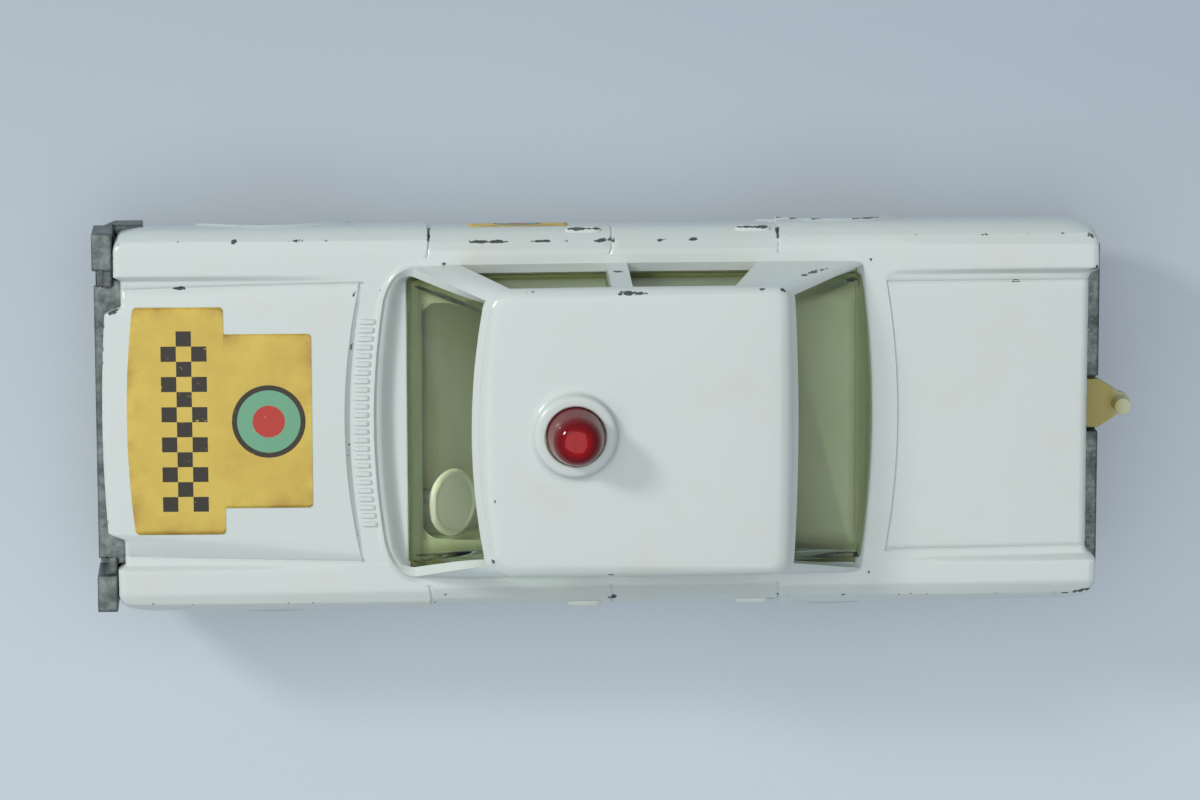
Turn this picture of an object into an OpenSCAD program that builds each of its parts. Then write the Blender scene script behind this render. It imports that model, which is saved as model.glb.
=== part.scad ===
// Die-cast pocket toy car: painted saloon shell riveted to a bare metal base.
// X forward, Y to the car's left, Z up; the ground is z = 0 and x = 0 is mid length.

/* [Overall] */
// Length from the headlamp bezels to the rear bumper
car_length = 73.5; // [66:0.5:82]
// Width over the doors
body_width = 28.2; // [26:0.1:31]
// Height of the bonnet, belt and boot line above the ground
belt_height = 12.5; // [11.5:0.1:14]
// Height of the roof panel above the belt
cabin_height = 6.2; // [5.6:0.1:7]
// How far the tow tongue stands out behind the rear bumper
hook_reach = 2.4; // [2:0.1:3.2]

/* [Proportions along the car, as shares of its length] */
// Bezels to the windscreen foot
bonnet_share = 0.2735; // [0.265:0.0005:0.28]
// Horizontal run of the windscreen
screen_share = 0.094; // [0.088:0.001:0.098]
// Roof panel
roof_share = 0.318; // [0.31:0.001:0.325]
// Horizontal run of the rear window
rear_glass_share = 0.08; // [0.075:0.001:0.085]
// Bezels to the front axle
overhang_share = 0.175; // [0.172:0.001:0.178]
// Between the axles
wheelbase_share = 0.555; // [0.545:0.001:0.56]

/* [Shell] */
// Wall thickness of the lower shell
shell_wall = 1.2; // [1:0.1:1.4]
// Wall thickness of the roof and pillars
roof_wall = 0.9; // [0.7:0.1:1]
// Underside of the sills above the ground
sill_height = 3.4; // [3.2:0.1:3.8]
// Height of the widest line of the flanks, as a share of the belt height
waist_share = 0.824; // [0.79:0.002:0.86]
// How far the cabin stands in from the doors at the belt
cabin_inset = 2.6; // [2.4:0.1:2.9]
// How far the roof gutters lean in from the cabin's foot
roof_lean = 1.0; // [0.8:0.1:1.4]
// Depth of the engraved panel lines
line_depth = 0.15; // [0.1:0.05:0.25]
// Width of the engraved panel lines
line_width = 0.24; // [0.15:0.03:0.4]
// Depth of the valleys beside the bonnet
valley_depth = 0.4; // [0.2:0.05:0.5]

/* [Running gear] */
// Wheel diameter as a share of the belt height
wheel_share = 0.736; // [0.7:0.002:0.76]
// Wheel width
wheel_width = 3.0; // [2.6:0.1:3.2]
// How far the wheels stand in from the doors
wheel_inset = 1.2; // [1:0.1:1.5]
// Axle wire diameter
axle_diameter = 1.2; // [1:0.1:1.4]
// Gap between a wheel and its arch
arch_gap = 0.75; // [0.6:0.05:0.9]
// Diameter of the steering wheel at the middle of its rim
steering_diameter = 4.3; // [3.8:0.1:4.6]

/* [Roof light] */
// Diameter of the lens where it leaves the boss
lens_diameter = 4.24; // [3.8:0.02:4.6]
// Height of the lens above the boss
lens_height = 3.0; // [2.4:0.1:3.6]
// Diameter of the round boss on the roof
boss_diameter = 6.0; // [5.6:0.1:6.6]

/* [Tow peg] */
// Diameter of the peg
peg_diameter = 1.2; // [1:0.05:1.4]
// Free height of the peg above the tongue
peg_height = 1.7; // [1.3:0.1:2]
// Width of the tongue
tongue_width = 3.6; // [3:0.1:3.8]

/* [Decals] */
// Thickness of the printed film
film = 0.08; // [0.05:0.01:0.12]
// Width of the door decals
door_decal_width = 7.2; // [6:0.1:7.6]
// Height of the door decals
door_decal_height = 4.4; // [3.8:0.1:4.6]

/* [Fits] */
// Radial clearance of turning fits
running_gap = 0.05; // [0.02:0.01:0.1]
// Gap between mouldings that are only trapped
loose_gap = 0.1; // [0.05:0.01:0.2]

/* [Hidden] */
$fn = 64;
far = 2 * car_length;

// lengths along the car
bonnet_length = bonnet_share * car_length;
screen_run = screen_share * car_length;
roof_length = roof_share * car_length;
rear_glass_run = rear_glass_share * car_length;
front_overhang = overhang_share * car_length;
wheelbase = wheelbase_share * car_length;

// stations along the car
front_x = (car_length + hook_reach) / 2;
bumper_x = front_x - car_length;
hook_x = bumper_x - hook_reach;
lip_x = front_x - 0.6;
wing_x = front_x - 1.55;
valley_x = front_x - 2.05;
nose_x = front_x - 2.5;
screen_x = front_x - bonnet_length;
roof_front_x = screen_x - screen_run;
roof_rear_x = roof_front_x - roof_length;
rear_glass_x = roof_rear_x - rear_glass_run;
tail_x = bumper_x + 0.8;
boot_edge_x = tail_x + 0.65;
front_axle_x = front_x - front_overhang;
rear_axle_x = front_axle_x - wheelbase;
pillar_x = roof_front_x - 0.457 * roof_length;
lens_x = roof_front_x - 0.314 * roof_length;
shelf_x = screen_x - 0.37 * screen_run;
rear_shelf_x = rear_glass_x + 0.16 * rear_glass_run;
front_post_x = front_axle_x + 0.436 * front_overhang;
rear_post_x = rear_axle_x + 0.615 * (bumper_x - rear_axle_x);

// heights
wheel_radius = wheel_share * belt_height / 2;
axle_z = wheel_radius;
axle_radius = axle_diameter / 2;
arch_radius = wheel_radius + arch_gap;
plate_bottom = sill_height - 0.6;
plate_thick = 1;
plate_top = plate_bottom + plate_thick;
waist_height = waist_share * belt_height;
shoulder_height = waist_height + 0.8 * (belt_height - waist_height);
nose_drop = 0.65;
tail_drop = 0.3;
roof_height = belt_height + cabin_height;
gutter_z = roof_height - 0.9;
roof_underside = roof_height - roof_wall;
boss_top = roof_height + 0.5;
front_bumper_top = 0.552 * belt_height;
rear_bumper_top = 0.648 * belt_height;
front_bumper_bottom = front_bumper_top - 2.7;
rear_bumper_bottom = rear_bumper_top - 3.7;
tongue_top = rear_bumper_top - 0.15;
tongue_thick = 0.95;
flange_thick = 0.5;
glass = 0.6;
glazing_top = roof_underside - flange_thick - 2 * loose_gap;
rim_top = belt_height - 0.6;
glazing_foot = rim_top + loose_gap;
tub_floor = axle_z + axle_radius + 0.5;

// half widths
waist = body_width / 2;
shoulder = waist - 0.8;
sill = waist - 1.2;
cabin_half_width = waist - cabin_inset;
roof_half_width = cabin_half_width - roof_lean;
wing_inner = waist - 3.6;
bonnet_rear = wing_inner - 0.55;
bonnet_front = bonnet_rear - 0.95;
wheel_outer = waist - wheel_inset;
wheel_inner = wheel_outer - wheel_width;
lug_outer = wheel_inner - 0.35;
lug_thick = 1.3;
tub_half = lug_outer - loose_gap;
rim_half = cabin_half_width - roof_wall - 4 * loose_gap;
post_radius = 1.4;
shank_radius = 0.9;
rivet_radius = 1.5;
rivet_head = 0.4;
lens_radius = lens_diameter / 2;
lens_flange = lens_radius + 0.7;
peg_radius = peg_diameter / 2;
tip_radius = peg_radius + 0.2;
peg_x = hook_x + tip_radius;
bearing_radius = axle_radius + running_gap;

// both halves of an outline given for one side, from the middle outwards and back
function both(half) = concat(half, [for (i = [len(half) - 1 : -1 : 0]) [-half[i].x, half[i].y]]);

// X-Z outline drawn across the car, Y-Z outline drawn along it
module across(width) rotate([90, 0, 0]) linear_extrude(height = width, center = true) children();
module along(length) rotate([90, 0, 90]) linear_extrude(height = length, center = true) children();
module mirror_y() {
    children();
    mirror([0, 1, 0]) children();
}

// the top line of bonnet, belt and boot, lowered by drop
function top_line(drop) = [
    [lip_x + 1, belt_height - nose_drop - drop],
    [screen_x, belt_height - drop],
    [rear_glass_x, belt_height - drop],
    [tail_x - 1, belt_height - tail_drop - drop]
];

// side view of the lower shell, longer than the plan; inset lowers its top line and below its foot
module side_outline(inset, below) {
    polygon(concat(top_line(inset), [
        [tail_x - 1, rear_bumper_top + loose_gap - below],
        [tail_x + 1.4, rear_bumper_top + loose_gap - below],
        [tail_x + 2.3, sill_height - below],
        [nose_x - 1.2, sill_height - below],
        [nose_x - 1.2, front_bumper_top + loose_gap - below],
        [lip_x + 1, front_bumper_top + loose_gap - below]
    ]));
}

// section of the flanks; the outline runs on above the top line
module flank_outline(inset) {
    polygon(both([
        [sill - inset, sill_height - 5],
        [sill - inset, sill_height],
        [waist - 0.65 - inset, sill_height + 1.8],
        [waist - inset, waist_height],
        [shoulder - inset, shoulder_height],
        [shoulder - 0.7 - inset, belt_height + 1]
    ]));
}

// plan of the lower shell with its stepped front
module plan_outline(inset) {
    left = plan_half(inset);
    right = [for (i = [len(left) - 2 : -1 : 1]) [left[i].x, -left[i].y]];
    polygon(concat(left, right));
}
function plan_half(inset) = [
    [lip_x - inset, 0],
    [lip_x - 0.3 - inset, bonnet_front - 0.8],
    [valley_x - inset, bonnet_front + 0.3],
    [valley_x - inset, wing_inner],
    [wing_x - inset, wing_inner + 0.2],
    [wing_x - inset, waist - 0.9 - inset],
    [wing_x - 1.9 - inset, waist - 0.15 - inset],
    [screen_x - 4, waist - inset],
    [roof_rear_x, waist - inset],
    [tail_x + 2 + inset, waist - 0.3 - inset],
    [tail_x + inset, waist - 1 - inset],
    [tail_x + inset, wing_inner + 0.1],
    [boot_edge_x + inset, wing_inner - 0.4],
    [boot_edge_x + inset, 0]
];

module lower_block(inset, below) {
    intersection() {
        across(far) side_outline(inset, below);
        along(far) flank_outline(inset);
        linear_extrude(height = far, center = true) plan_outline(inset);
    }
}

// cabin block: side view, section and the bowed screens; inset thins it, foot is its lower face
screen_rise = gutter_z + 0.3 - belt_height;
screen_lean = atan(screen_run / screen_rise);
rear_lean = atan(rear_glass_run / screen_rise);
screen_bow = 50;
rear_bow = 85;
module cabin_block(inset, foot, top) {
    intersection() {
        across(far) polygon([
            [screen_x + 2, foot],
            [roof_front_x + 3, top],
            [roof_rear_x - 3, top],
            [rear_glass_x - 2, foot]
        ]);
        along(far) polygon(both([
            [cabin_half_width - inset, foot],
            [cabin_half_width - inset, belt_height],
            [roof_half_width - inset, gutter_z],
            [roof_half_width - 1.6 - inset, min(gutter_z + 0.5, top)],
            [3.5, top]
        ]));
        translate([screen_x - inset, 0, belt_height])
            rotate([0, -screen_lean, 0])
            translate([-screen_bow, 0, 0])
            cylinder(r = screen_bow, h = far, center = true, $fn = 200);
        translate([rear_glass_x + inset, 0, belt_height])
            rotate([0, rear_lean, 0])
            translate([rear_bow, 0, 0])
            cylinder(r = rear_bow, h = far, center = true, $fn = 200);
    }
}

// openings for the windscreen and rear window, seen along the car
module end_window(length) {
    along(length) polygon(both([
        [cabin_half_width - 0.6, belt_height + 0.3],
        [roof_half_width - 0.9, gutter_z - 0.35]
    ]));
}

// side window openings, seen across the car
module side_windows(reach) {
    sill_z = belt_height + 0.2;
    head_z = gutter_z - 0.3;
    across(reach) polygon([
        [screen_x - 6.3, sill_z],
        [roof_front_x - 2.8, head_z],
        [pillar_x + 0.7, head_z],
        [pillar_x + 0.7, sill_z]
    ]);
    across(reach) polygon([
        [pillar_x - 0.7, sill_z],
        [pillar_x - 0.7, head_z],
        [roof_rear_x + 4.5, head_z],
        [roof_rear_x + 2.5, sill_z]
    ]);
}

// thin skin of the flanks, for engraving
module flank_skin() {
    along(far) difference() {
        flank_outline(-1);
        flank_outline(line_depth);
    }
}
module door_line(x) {
    intersection() {
        flank_skin();
        translate([x - line_width / 2, -far / 2, sill_height + 1.2])
            cube([line_width, far, shoulder_height - sill_height - 1.2]);
    }
}
module boot_lines() {
    front = rear_glass_x - 1.1;
    back = boot_edge_x + 0.4;
    depth = tail_drop + line_depth;
    half = bonnet_rear;
    for (y = [-half, half])
        translate([back, y - line_width / 2, belt_height - depth]) cube([front - back, line_width, 2]);
    translate([front - line_width, -half, belt_height - line_depth - 0.05]) cube([line_width, 2 * half, 2]);
}
module bonnet_valleys() {
    mirror_y()
        translate([0, (bonnet_rear + wing_inner) / 2 - 0.3, 0])
        across(wing_inner - bonnet_front - 0.5)
        polygon(concat(
            [[lip_x + 1, belt_height + 1], [screen_x + 1.2, belt_height + 1]],
            [[screen_x + 1.2, belt_height - 0.1], [screen_x + 2.4, belt_height - valley_depth]],
            [[lip_x + 1, belt_height - nose_drop - valley_depth]]
        ));
}

module arch_lip(x) {
    lip = 0.6;
    stand_out = 0.15;
    intersection() {
        translate([x, 0, axle_z]) rotate([90, 0, 0]) difference() {
            cylinder(r = arch_radius + lip, h = far, center = true);
            cylinder(r = arch_radius, h = far, center = true);
        }
        along(far) difference() {
            flank_outline(-stand_out);
            flank_outline(shell_wall / 2);
        }
        translate([x - 10, -far / 2, sill_height]) cube([20, far, waist_height - sill_height]);
    }
}

module handle(x) {
    mirror_y() translate([x, waist - 0.25, waist_height + 0.35]) cube([2.5, 0.35, 0.5]);
}

// post cast under the shell, with the rivet shank spun over below the base
module rivet_post(x) {
    translate([x, 0, plate_top]) cylinder(r = post_radius, h = belt_height - 1.3 - plate_top);
    translate([x, 0, plate_bottom]) cylinder(r = shank_radius, h = plate_thick + 0.5);
    translate([x, 0, plate_bottom]) cylinder(r = rivet_radius, h = rivet_head);
}

module body_shell() {
    color("WhiteSmoke") {
        difference() {
            union() {
                lower_block(0, 0);
                cabin_block(0, belt_height - 1, roof_height);
                arch_lip(front_axle_x);
                arch_lip(rear_axle_x);
                handle(pillar_x + 0.85);
                handle(roof_rear_x + 0.06 * roof_length);
                translate([lens_x, 0, roof_underside])
                    cylinder(d = boss_diameter, h = boss_top - roof_underside);
            }
            lower_block(shell_wall, 5);
            intersection() {
                cabin_block(roof_wall, belt_height - 3, roof_underside);
                union() {
                    translate([rear_shelf_x, -far / 2, 0]) cube([shelf_x - rear_shelf_x, far, far]);
                    translate([-far / 2, -far / 2, belt_height]) cube([far, far, far]);
                }
            }
            translate([screen_x, 0, 0]) end_window(24);
            translate([rear_glass_x, 0, 0]) end_window(20);
            side_windows(far);
            bonnet_valleys();
            boot_lines();
            door_line(screen_x - 4.1);
            door_line(pillar_x + 0.3);
            door_line(roof_rear_x + 1);
            for (x = [front_axle_x, rear_axle_x])
                mirror_y()
                translate([x, wheel_inner - 1, axle_z])
                rotate([-90, 0, 0])
                cylinder(r = arch_radius, h = 10);
            // recess under the bonnet lip for the grille
            translate([nose_x, -wing_inner, 0]) cube([10, 2 * wing_inner, belt_height - 1.6]);
            translate([lens_x, 0, roof_height - 3]) cylinder(r = lens_radius + running_gap, h = 6);
        }
        rivet_post(front_post_x);
        rivet_post(rear_post_x);
    }
}

module axle_lugs(x) {
    height = tub_floor - loose_gap - plate_top;
    length = 2 * axle_diameter + 0.8;
    mirror_y()
        translate([x - length / 2, lug_outer - lug_thick, plate_bottom])
        cube([length, lug_thick, height + plate_thick]);
}
module wheel_notch(x) {
    length = 2 * arch_radius + 0.6;
    mirror_y()
        translate([x - length / 2, lug_outer, plate_bottom - 1])
        cube([length, waist, plate_thick + 2]);
}
// bumper bar from its outer face to its back, with rounded ends
module bumper_bar(face, back, half, bottom, top) {
    turn = sign(face - back);
    translate([0, 0, bottom]) linear_extrude(height = top - bottom) polygon([
        [back, -half],
        [back, half],
        [face - 1.4 * turn, half],
        [face - 0.45 * turn, half - 0.4],
        [face, half - 1.3],
        [face, 1.3 - half],
        [face - 0.45 * turn, 0.4 - half],
        [face - 1.4 * turn, -half]
    ]);
}
// upright bezel blocks with two lamps one over the other
module headlamps() {
    bezel_width = 2.7;
    lamp_y = waist - 0.25 - bezel_width / 2;
    bezel_back = wing_x + loose_gap;
    bezel_bottom = front_bumper_top - 0.2;
    bezel_height = belt_height - 1 - bezel_bottom;
    lamp_radius = 0.8;
    lens_gap = 0.15;
    mirror_y() {
        difference() {
            translate([bezel_back, lamp_y - bezel_width / 2, bezel_bottom])
                cube([front_x - bezel_back, bezel_width, bezel_height]);
            for (level = [0.29, 0.73])
                translate([front_x - 0.4, lamp_y, bezel_bottom + level * bezel_height])
                rotate([0, 90, 0])
                difference() {
                    cylinder(r = lamp_radius, h = 2);
                    cylinder(r = lamp_radius - lens_gap, h = 0.25);
                }
        }
        translate([bezel_back, wing_inner - 0.6, bezel_bottom])
            cube([0.7, lamp_y - wing_inner + 0.6, bezel_height - 0.6]);
    }
}

module base_plate() {
    plate_half = sill - shell_wall - 0.3;
    grille_top = belt_height - 1.7;
    bars = 7;
    bar_pitch = (wing_inner - 1.75) / bars;
    bar_width = 0.4 * bar_pitch;
    color("Silver") difference() {
        union() {
            translate([tail_x + 2.5, -plate_half, plate_bottom])
                cube([nose_x - 1.4 - tail_x - 2.5, 2 * plate_half, plate_thick]);
            axle_lugs(front_axle_x);
            axle_lugs(rear_axle_x);
            mirror_y() translate([shelf_x - 3, tub_half - 2, plate_top - 0.01])
                cube([2, 1.5, tub_floor - plate_top - loose_gap]);
            // front bumper, grille and bezels
            translate([nose_x - 1.5, -plate_half, plate_bottom])
                cube([2, 2 * plate_half, front_bumper_bottom + 1 - plate_bottom]);
            bumper_bar(front_x - 0.1, nose_x - 1.05, waist - 0.25, front_bumper_bottom, front_bumper_top);
            translate([nose_x + loose_gap, loose_gap - wing_inner, front_bumper_bottom])
                cube([1.5, 2 * (wing_inner - loose_gap), grille_top - front_bumper_bottom]);
            for (i = [-bars : bars])
                translate([nose_x + 1, i * bar_pitch - bar_width / 2, front_bumper_top - 0.2])
                    cube([front_x - 0.2 - nose_x - 1, bar_width, grille_top - front_bumper_top]);
            translate([nose_x + 1, -wing_inner + 0.5, grille_top - 0.5])
                cube([front_x - nose_x - 1.1, 2 * wing_inner - 1, 0.5]);
            headlamps();
            // rear bumper
            translate([tail_x + 0.8, -plate_half, plate_bottom])
                cube([1.8, 2 * plate_half, rear_bumper_bottom + 0.8 - plate_bottom]);
            bumper_bar(bumper_x, tail_x + 1.3, waist - 1, rear_bumper_bottom, rear_bumper_top);
        }
        wheel_notch(front_axle_x);
        wheel_notch(rear_axle_x);
        for (x = [front_axle_x, rear_axle_x])
            translate([x, 0, axle_z]) rotate([90, 0, 0]) cylinder(r = bearing_radius, h = far, center = true);
        for (x = [front_post_x, rear_post_x]) {
            translate([x, 0, plate_bottom - 1]) cylinder(r = shank_radius + running_gap, h = 4);
            translate([x, 0, plate_bottom - 1])
                cylinder(r = rivet_radius + loose_gap, h = 1 + rivet_head + loose_gap);
        }
        // way through the rear bumper for the tow tongue
        translate([bumper_x - 1, -tongue_width / 2 - 0.25, tongue_top - tongue_thick - loose_gap])
            cube([6, tongue_width + 0.5, 4]);
    }
}

module glazing() {
    outer = roof_wall + loose_gap;
    color("PaleGreen", 0.5) difference() {
        cabin_block(outer, glazing_foot, glazing_top);
        cabin_block(outer + glass, glazing_foot - 2, glazing_top - glass);
        // raised foot where the screens stand on the shelves
        translate([shelf_x - loose_gap, -far / 2, 0]) cube([20, far, belt_height + loose_gap]);
        translate([rear_shelf_x + loose_gap - 20, -far / 2, 0]) cube([20, far, belt_height + loose_gap]);
        translate([lens_x, 0, glazing_top - 2]) cylinder(r = lens_radius - 0.4, h = 4);
    }
}

// bench seat: cushion with a leaning back
module bench(x, half, back_top) {
    translate([x, -half, tub_floor]) cube([5.2, 2 * half, 3]);
    across(2 * half) polygon([
        [x + 1.4, tub_floor],
        [x + 0.4, back_top],
        [x - 1, back_top],
        [x - 0.6, tub_floor]
    ]);
}
column_y = tub_half - 1.03 - 0.57 * steering_diameter;
column_lean = 42;
column_radius = steering_diameter / 8;
column_length = 0.95 * steering_diameter;
wheel_hub = [screen_x - 0.855 * screen_run, column_y, rim_top - loose_gap];
module interior() {
    wall = 0.8;
    back_x = rear_shelf_x + 0.4;
    front_end = shelf_x - 0.3;
    color("Ivory") difference() {
        union() {
            // tub with a rim under the glazing
            difference() {
                translate([back_x, -tub_half, tub_floor])
                    cube([front_end - back_x, 2 * tub_half, rim_top - tub_floor]);
                translate([back_x + wall, wall - tub_half, tub_floor + wall])
                    cube([front_end - back_x - 2 * wall, 2 * tub_half - 2 * wall, far]);
            }
            mirror_y() translate([back_x, tub_half - wall, rim_top - 0.6])
                cube([front_end - back_x, rim_half - tub_half + wall, 0.6]);
            bench(pillar_x + 1.2, tub_half - 0.4, belt_height + 1.6);
            bench(roof_rear_x + 1.6, tub_half - 0.4, belt_height + 1.3);
            translate([back_x, -tub_half, rim_top - wall])
                cube([roof_rear_x + 1 - back_x, 2 * tub_half, wall]);
            // toe board with a socket for the steering column
            across(2 * tub_half - wall) polygon([
                [front_end - 0.4, tub_floor + 0.4],
                [front_end - 0.4, rim_top - 2.4],
                [front_end - 2.2, rim_top - 2.4],
                [front_end - 7, tub_floor + 0.4]
            ]);
            // tow tongue behind the tub
            translate([rear_post_x - 2.6, -tongue_width / 2 - 1, tongue_top - tongue_thick])
                cube([back_x + 0.4 - rear_post_x + 2.6, tongue_width + 2, tongue_thick]);
            translate([0, 0, tongue_top - tongue_thick]) linear_extrude(height = tongue_thick) polygon([
                [rear_post_x, -tongue_width / 2],
                [bumper_x, -tongue_width / 2],
                [peg_x, -tip_radius],
                [peg_x, tip_radius],
                [bumper_x, tongue_width / 2],
                [rear_post_x, tongue_width / 2]
            ]);
            translate([peg_x, 0, tongue_top - tongue_thick]) cylinder(r = tip_radius, h = tongue_thick);
            translate([peg_x, 0, tongue_top - 0.1]) cylinder(r = peg_radius, h = peg_height + 0.1);
        }
        translate([rear_post_x, 0, tongue_top - 3]) cylinder(r = post_radius + loose_gap, h = 6);
        translate(wheel_hub)
            rotate([0, -column_lean, 0])
            translate([0, 0, -column_length - loose_gap])
            cylinder(r = column_radius + running_gap, h = column_length + loose_gap);
    }
}

module steering_wheel() {
    rim_radius = steering_diameter / 2;
    rim_thick = 0.14 * steering_diameter;
    disc = 0.1 * steering_diameter;
    color("Ivory") translate(wheel_hub) rotate([0, -column_lean, 0]) {
        rotate_extrude() translate([rim_radius, 0]) circle(d = rim_thick, $fn = 32);
        translate([0, 0, -column_length]) cylinder(r = column_radius, h = column_length);
        translate([0, 0, -disc / 2]) cylinder(r = rim_radius, h = disc);
    }
}

module dome_light() {
    top_radius = lens_radius - 0.55;
    crown = 0.6;
    color("Red", 0.8) translate([lens_x, 0, 0]) rotate_extrude() {
        polygon([
            [0, glazing_top + loose_gap],
            [lens_flange, glazing_top + loose_gap],
            [lens_flange, roof_underside - loose_gap],
            [lens_radius, roof_underside - loose_gap],
            [lens_radius, boss_top],
            [top_radius + 0.1, boss_top + lens_height - crown],
            [top_radius - 0.5, boss_top + lens_height - 0.12],
            [0, boss_top + lens_height]
        ]);
    }
}

module bonnet_decal() {
    front = lip_x - 0.107 * bonnet_length;
    step = lip_x - 0.433 * bonnet_length;
    rear = lip_x - 0.746 * bonnet_length;
    wide = bonnet_front - 0.8;
    narrow = 0.756 * wide;
    color("Gold") intersection() {
        across(far) polygon([
            top_line(0)[0],
            top_line(-film)[0],
            top_line(-film)[1],
            top_line(0)[1]
        ]);
        linear_extrude(height = far) polygon([
            [front, -wide], [front, wide],
            [step, wide], [step, narrow],
            [rear, narrow], [rear, -narrow],
            [step, -narrow], [step, -wide]
        ]);
    }
}

module door_decal() {
    half_width = door_decal_width / 2;
    half_height = door_decal_height / 2;
    corner = 0.12 * door_decal_height;
    color("Gold") intersection() {
        along(far) polygon([
            [waist - 0.65, sill_height + 1.8],
            [waist, waist_height],
            [waist + film, waist_height],
            [waist - 0.65 + film, sill_height + 1.8]
        ]);
        translate([pillar_x + 0.297 * roof_length, 0, waist_height - 0.2 - half_height]) across(far) polygon([
            [corner - half_width, -half_height],
            [half_width - corner, -half_height],
            [half_width, corner - half_height],
            [half_width, half_height - corner],
            [half_width - corner, half_height],
            [corner - half_width, half_height],
            [-half_width, half_height - corner],
            [-half_width, corner - half_height]
        ]);
    }
}
module door_decal_left() door_decal();
module door_decal_right() mirror([0, 1, 0]) door_decal();

module axle() {
    half = wheel_outer - 0.45;
    head = 0.45;
    color("Gainsboro") translate([0, 0, axle_z]) rotate([90, 0, 0]) {
        cylinder(r = axle_radius, h = 2 * half, center = true);
        for (turn = [0, 180])
            rotate([turn, 0, 0])
            translate([0, 0, half - head])
            cylinder(r1 = axle_radius + 0.35, r2 = axle_radius, h = head);
    }
}
module front_axle() translate([front_axle_x, 0, 0]) axle();
module rear_axle() translate([rear_axle_x, 0, 0]) axle();

// one wheel, outer face towards +Y, dished hub inside the tyre
module road_wheel() {
    hub_face = wheel_width - 1;
    color("DimGray") translate([0, wheel_inner, axle_z]) rotate([-90, 0, 0]) rotate_extrude() polygon([
        [bearing_radius, 0],
        [wheel_radius - 0.35, 0],
        [wheel_radius, 0.35],
        [wheel_radius, wheel_width - 0.35],
        [wheel_radius - 0.35, wheel_width],
        [wheel_radius - 1.35, wheel_width],
        [wheel_radius - 1.7, hub_face],
        [bearing_radius, hub_face]
    ]);
}
module front_left_wheel() translate([front_axle_x, 0, 0]) road_wheel();
module front_right_wheel() mirror([0, 1, 0]) front_left_wheel();
module rear_left_wheel() translate([rear_axle_x, 0, 0]) road_wheel();
module rear_right_wheel() mirror([0, 1, 0]) rear_left_wheel();

body_shell();
base_plate();
glazing();
interior();
steering_wheel();
dome_light();
bonnet_decal();
door_decal_left();
door_decal_right();
front_axle();
rear_axle();
front_left_wheel();
front_right_wheel();
rear_left_wheel();
rear_right_wheel();
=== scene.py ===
from functools import partial
import bmesh
import bpy
import numpy as np
from mathutils import Matrix, Vector


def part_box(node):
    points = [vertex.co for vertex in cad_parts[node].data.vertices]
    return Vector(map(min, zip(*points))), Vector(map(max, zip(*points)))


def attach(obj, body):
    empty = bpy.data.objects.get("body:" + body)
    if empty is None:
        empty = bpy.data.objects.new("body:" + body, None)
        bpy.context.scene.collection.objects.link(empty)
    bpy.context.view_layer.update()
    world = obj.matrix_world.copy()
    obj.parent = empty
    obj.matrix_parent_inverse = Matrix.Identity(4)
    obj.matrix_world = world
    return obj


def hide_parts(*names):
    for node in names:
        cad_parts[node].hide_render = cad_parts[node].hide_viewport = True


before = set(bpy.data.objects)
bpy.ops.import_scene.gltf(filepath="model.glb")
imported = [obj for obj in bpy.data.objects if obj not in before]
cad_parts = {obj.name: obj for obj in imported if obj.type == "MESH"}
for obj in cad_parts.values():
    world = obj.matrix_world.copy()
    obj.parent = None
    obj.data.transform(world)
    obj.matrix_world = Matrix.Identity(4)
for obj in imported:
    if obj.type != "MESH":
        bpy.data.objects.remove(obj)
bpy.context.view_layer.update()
mm = 0.001
carBody = "car"
print("stage: frame loaded")


def hexColor(text):
    # sRGB hex to linear RGBA
    c = np.array([int(text[i:i + 2], 16) for i in (1, 3, 5)]) / 255
    c = np.where(c <= 0.04045, c / 12.92, ((c + 0.055) / 1.055) ** 2.4)
    return (*c.tolist(), 1.0)


def setInputs(node, inputs):
    # a value is plain, hex text for a colour, a socket to link, or a node whose first live output is linked
    for key, value in inputs.items():
        if isinstance(value, bpy.types.Node):
            value = next(o for o in value.outputs if o.enabled)
        if isinstance(value, bpy.types.NodeSocket):
            node.id_data.links.new(value, node.inputs[key])
        else:
            node.inputs[key].default_value = hexColor(value) if isinstance(value, str) else value


def addNode(tree, kind, inputs=None, **settings):
    # one node with its settings, then its inputs; every Mix here is of colours
    node = tree.nodes.new("ShaderNode" + kind)
    if kind == "Mix":
        node.data_type = "RGBA"
    for key, value in settings.items():
        setattr(node, key, value)
    setInputs(node, inputs or {})
    return node


def newMaterial(name):
    # an empty material, addNode for its tree, its principled shader and its object coordinates in mm
    material = bpy.data.materials.new(name)
    material.use_nodes = True
    material.node_tree.nodes.clear()
    add = partial(addNode, material.node_tree)
    shader = add("BsdfPrincipled")
    add("OutputMaterial", {0: shader})
    coord = add("TexCoord")
    place = add("VectorMath", {0: coord.outputs["Object"], 3: 1 / mm}, operation="SCALE")
    return material, add, shader, place


def between(x, a, b):
    # 0 up to a, 1 from b on, straight between; b may be the smaller one
    return np.clip((x - a) / (b - a), 0, 1)


def ramp(x, a, b):
    # the same with soft ends
    t = between(x, a, b)
    return t * t * (3 - 2 * t)


def easeThrough(x, knots):
    # cubic through (x, value) knots, each slope taken from the neighbouring knots
    k = np.asarray(sorted(knots), float)
    slope = np.gradient(k[:, 1], k[:, 0])
    i = np.clip(np.searchsorted(k[:, 0], x) - 1, 0, len(k) - 2)
    h = k[i + 1, 0] - k[i, 0]
    t = np.clip((x - k[i, 0]) / h, 0, 1)
    rise = (1 + 2 * t) * (1 - t) ** 2 * k[i, 1] + t ** 2 * (3 - 2 * t) * k[i + 1, 1]
    return rise + h * (t * (1 - t) ** 2 * slope[i] + t ** 2 * (t - 1) * slope[i + 1])


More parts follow.
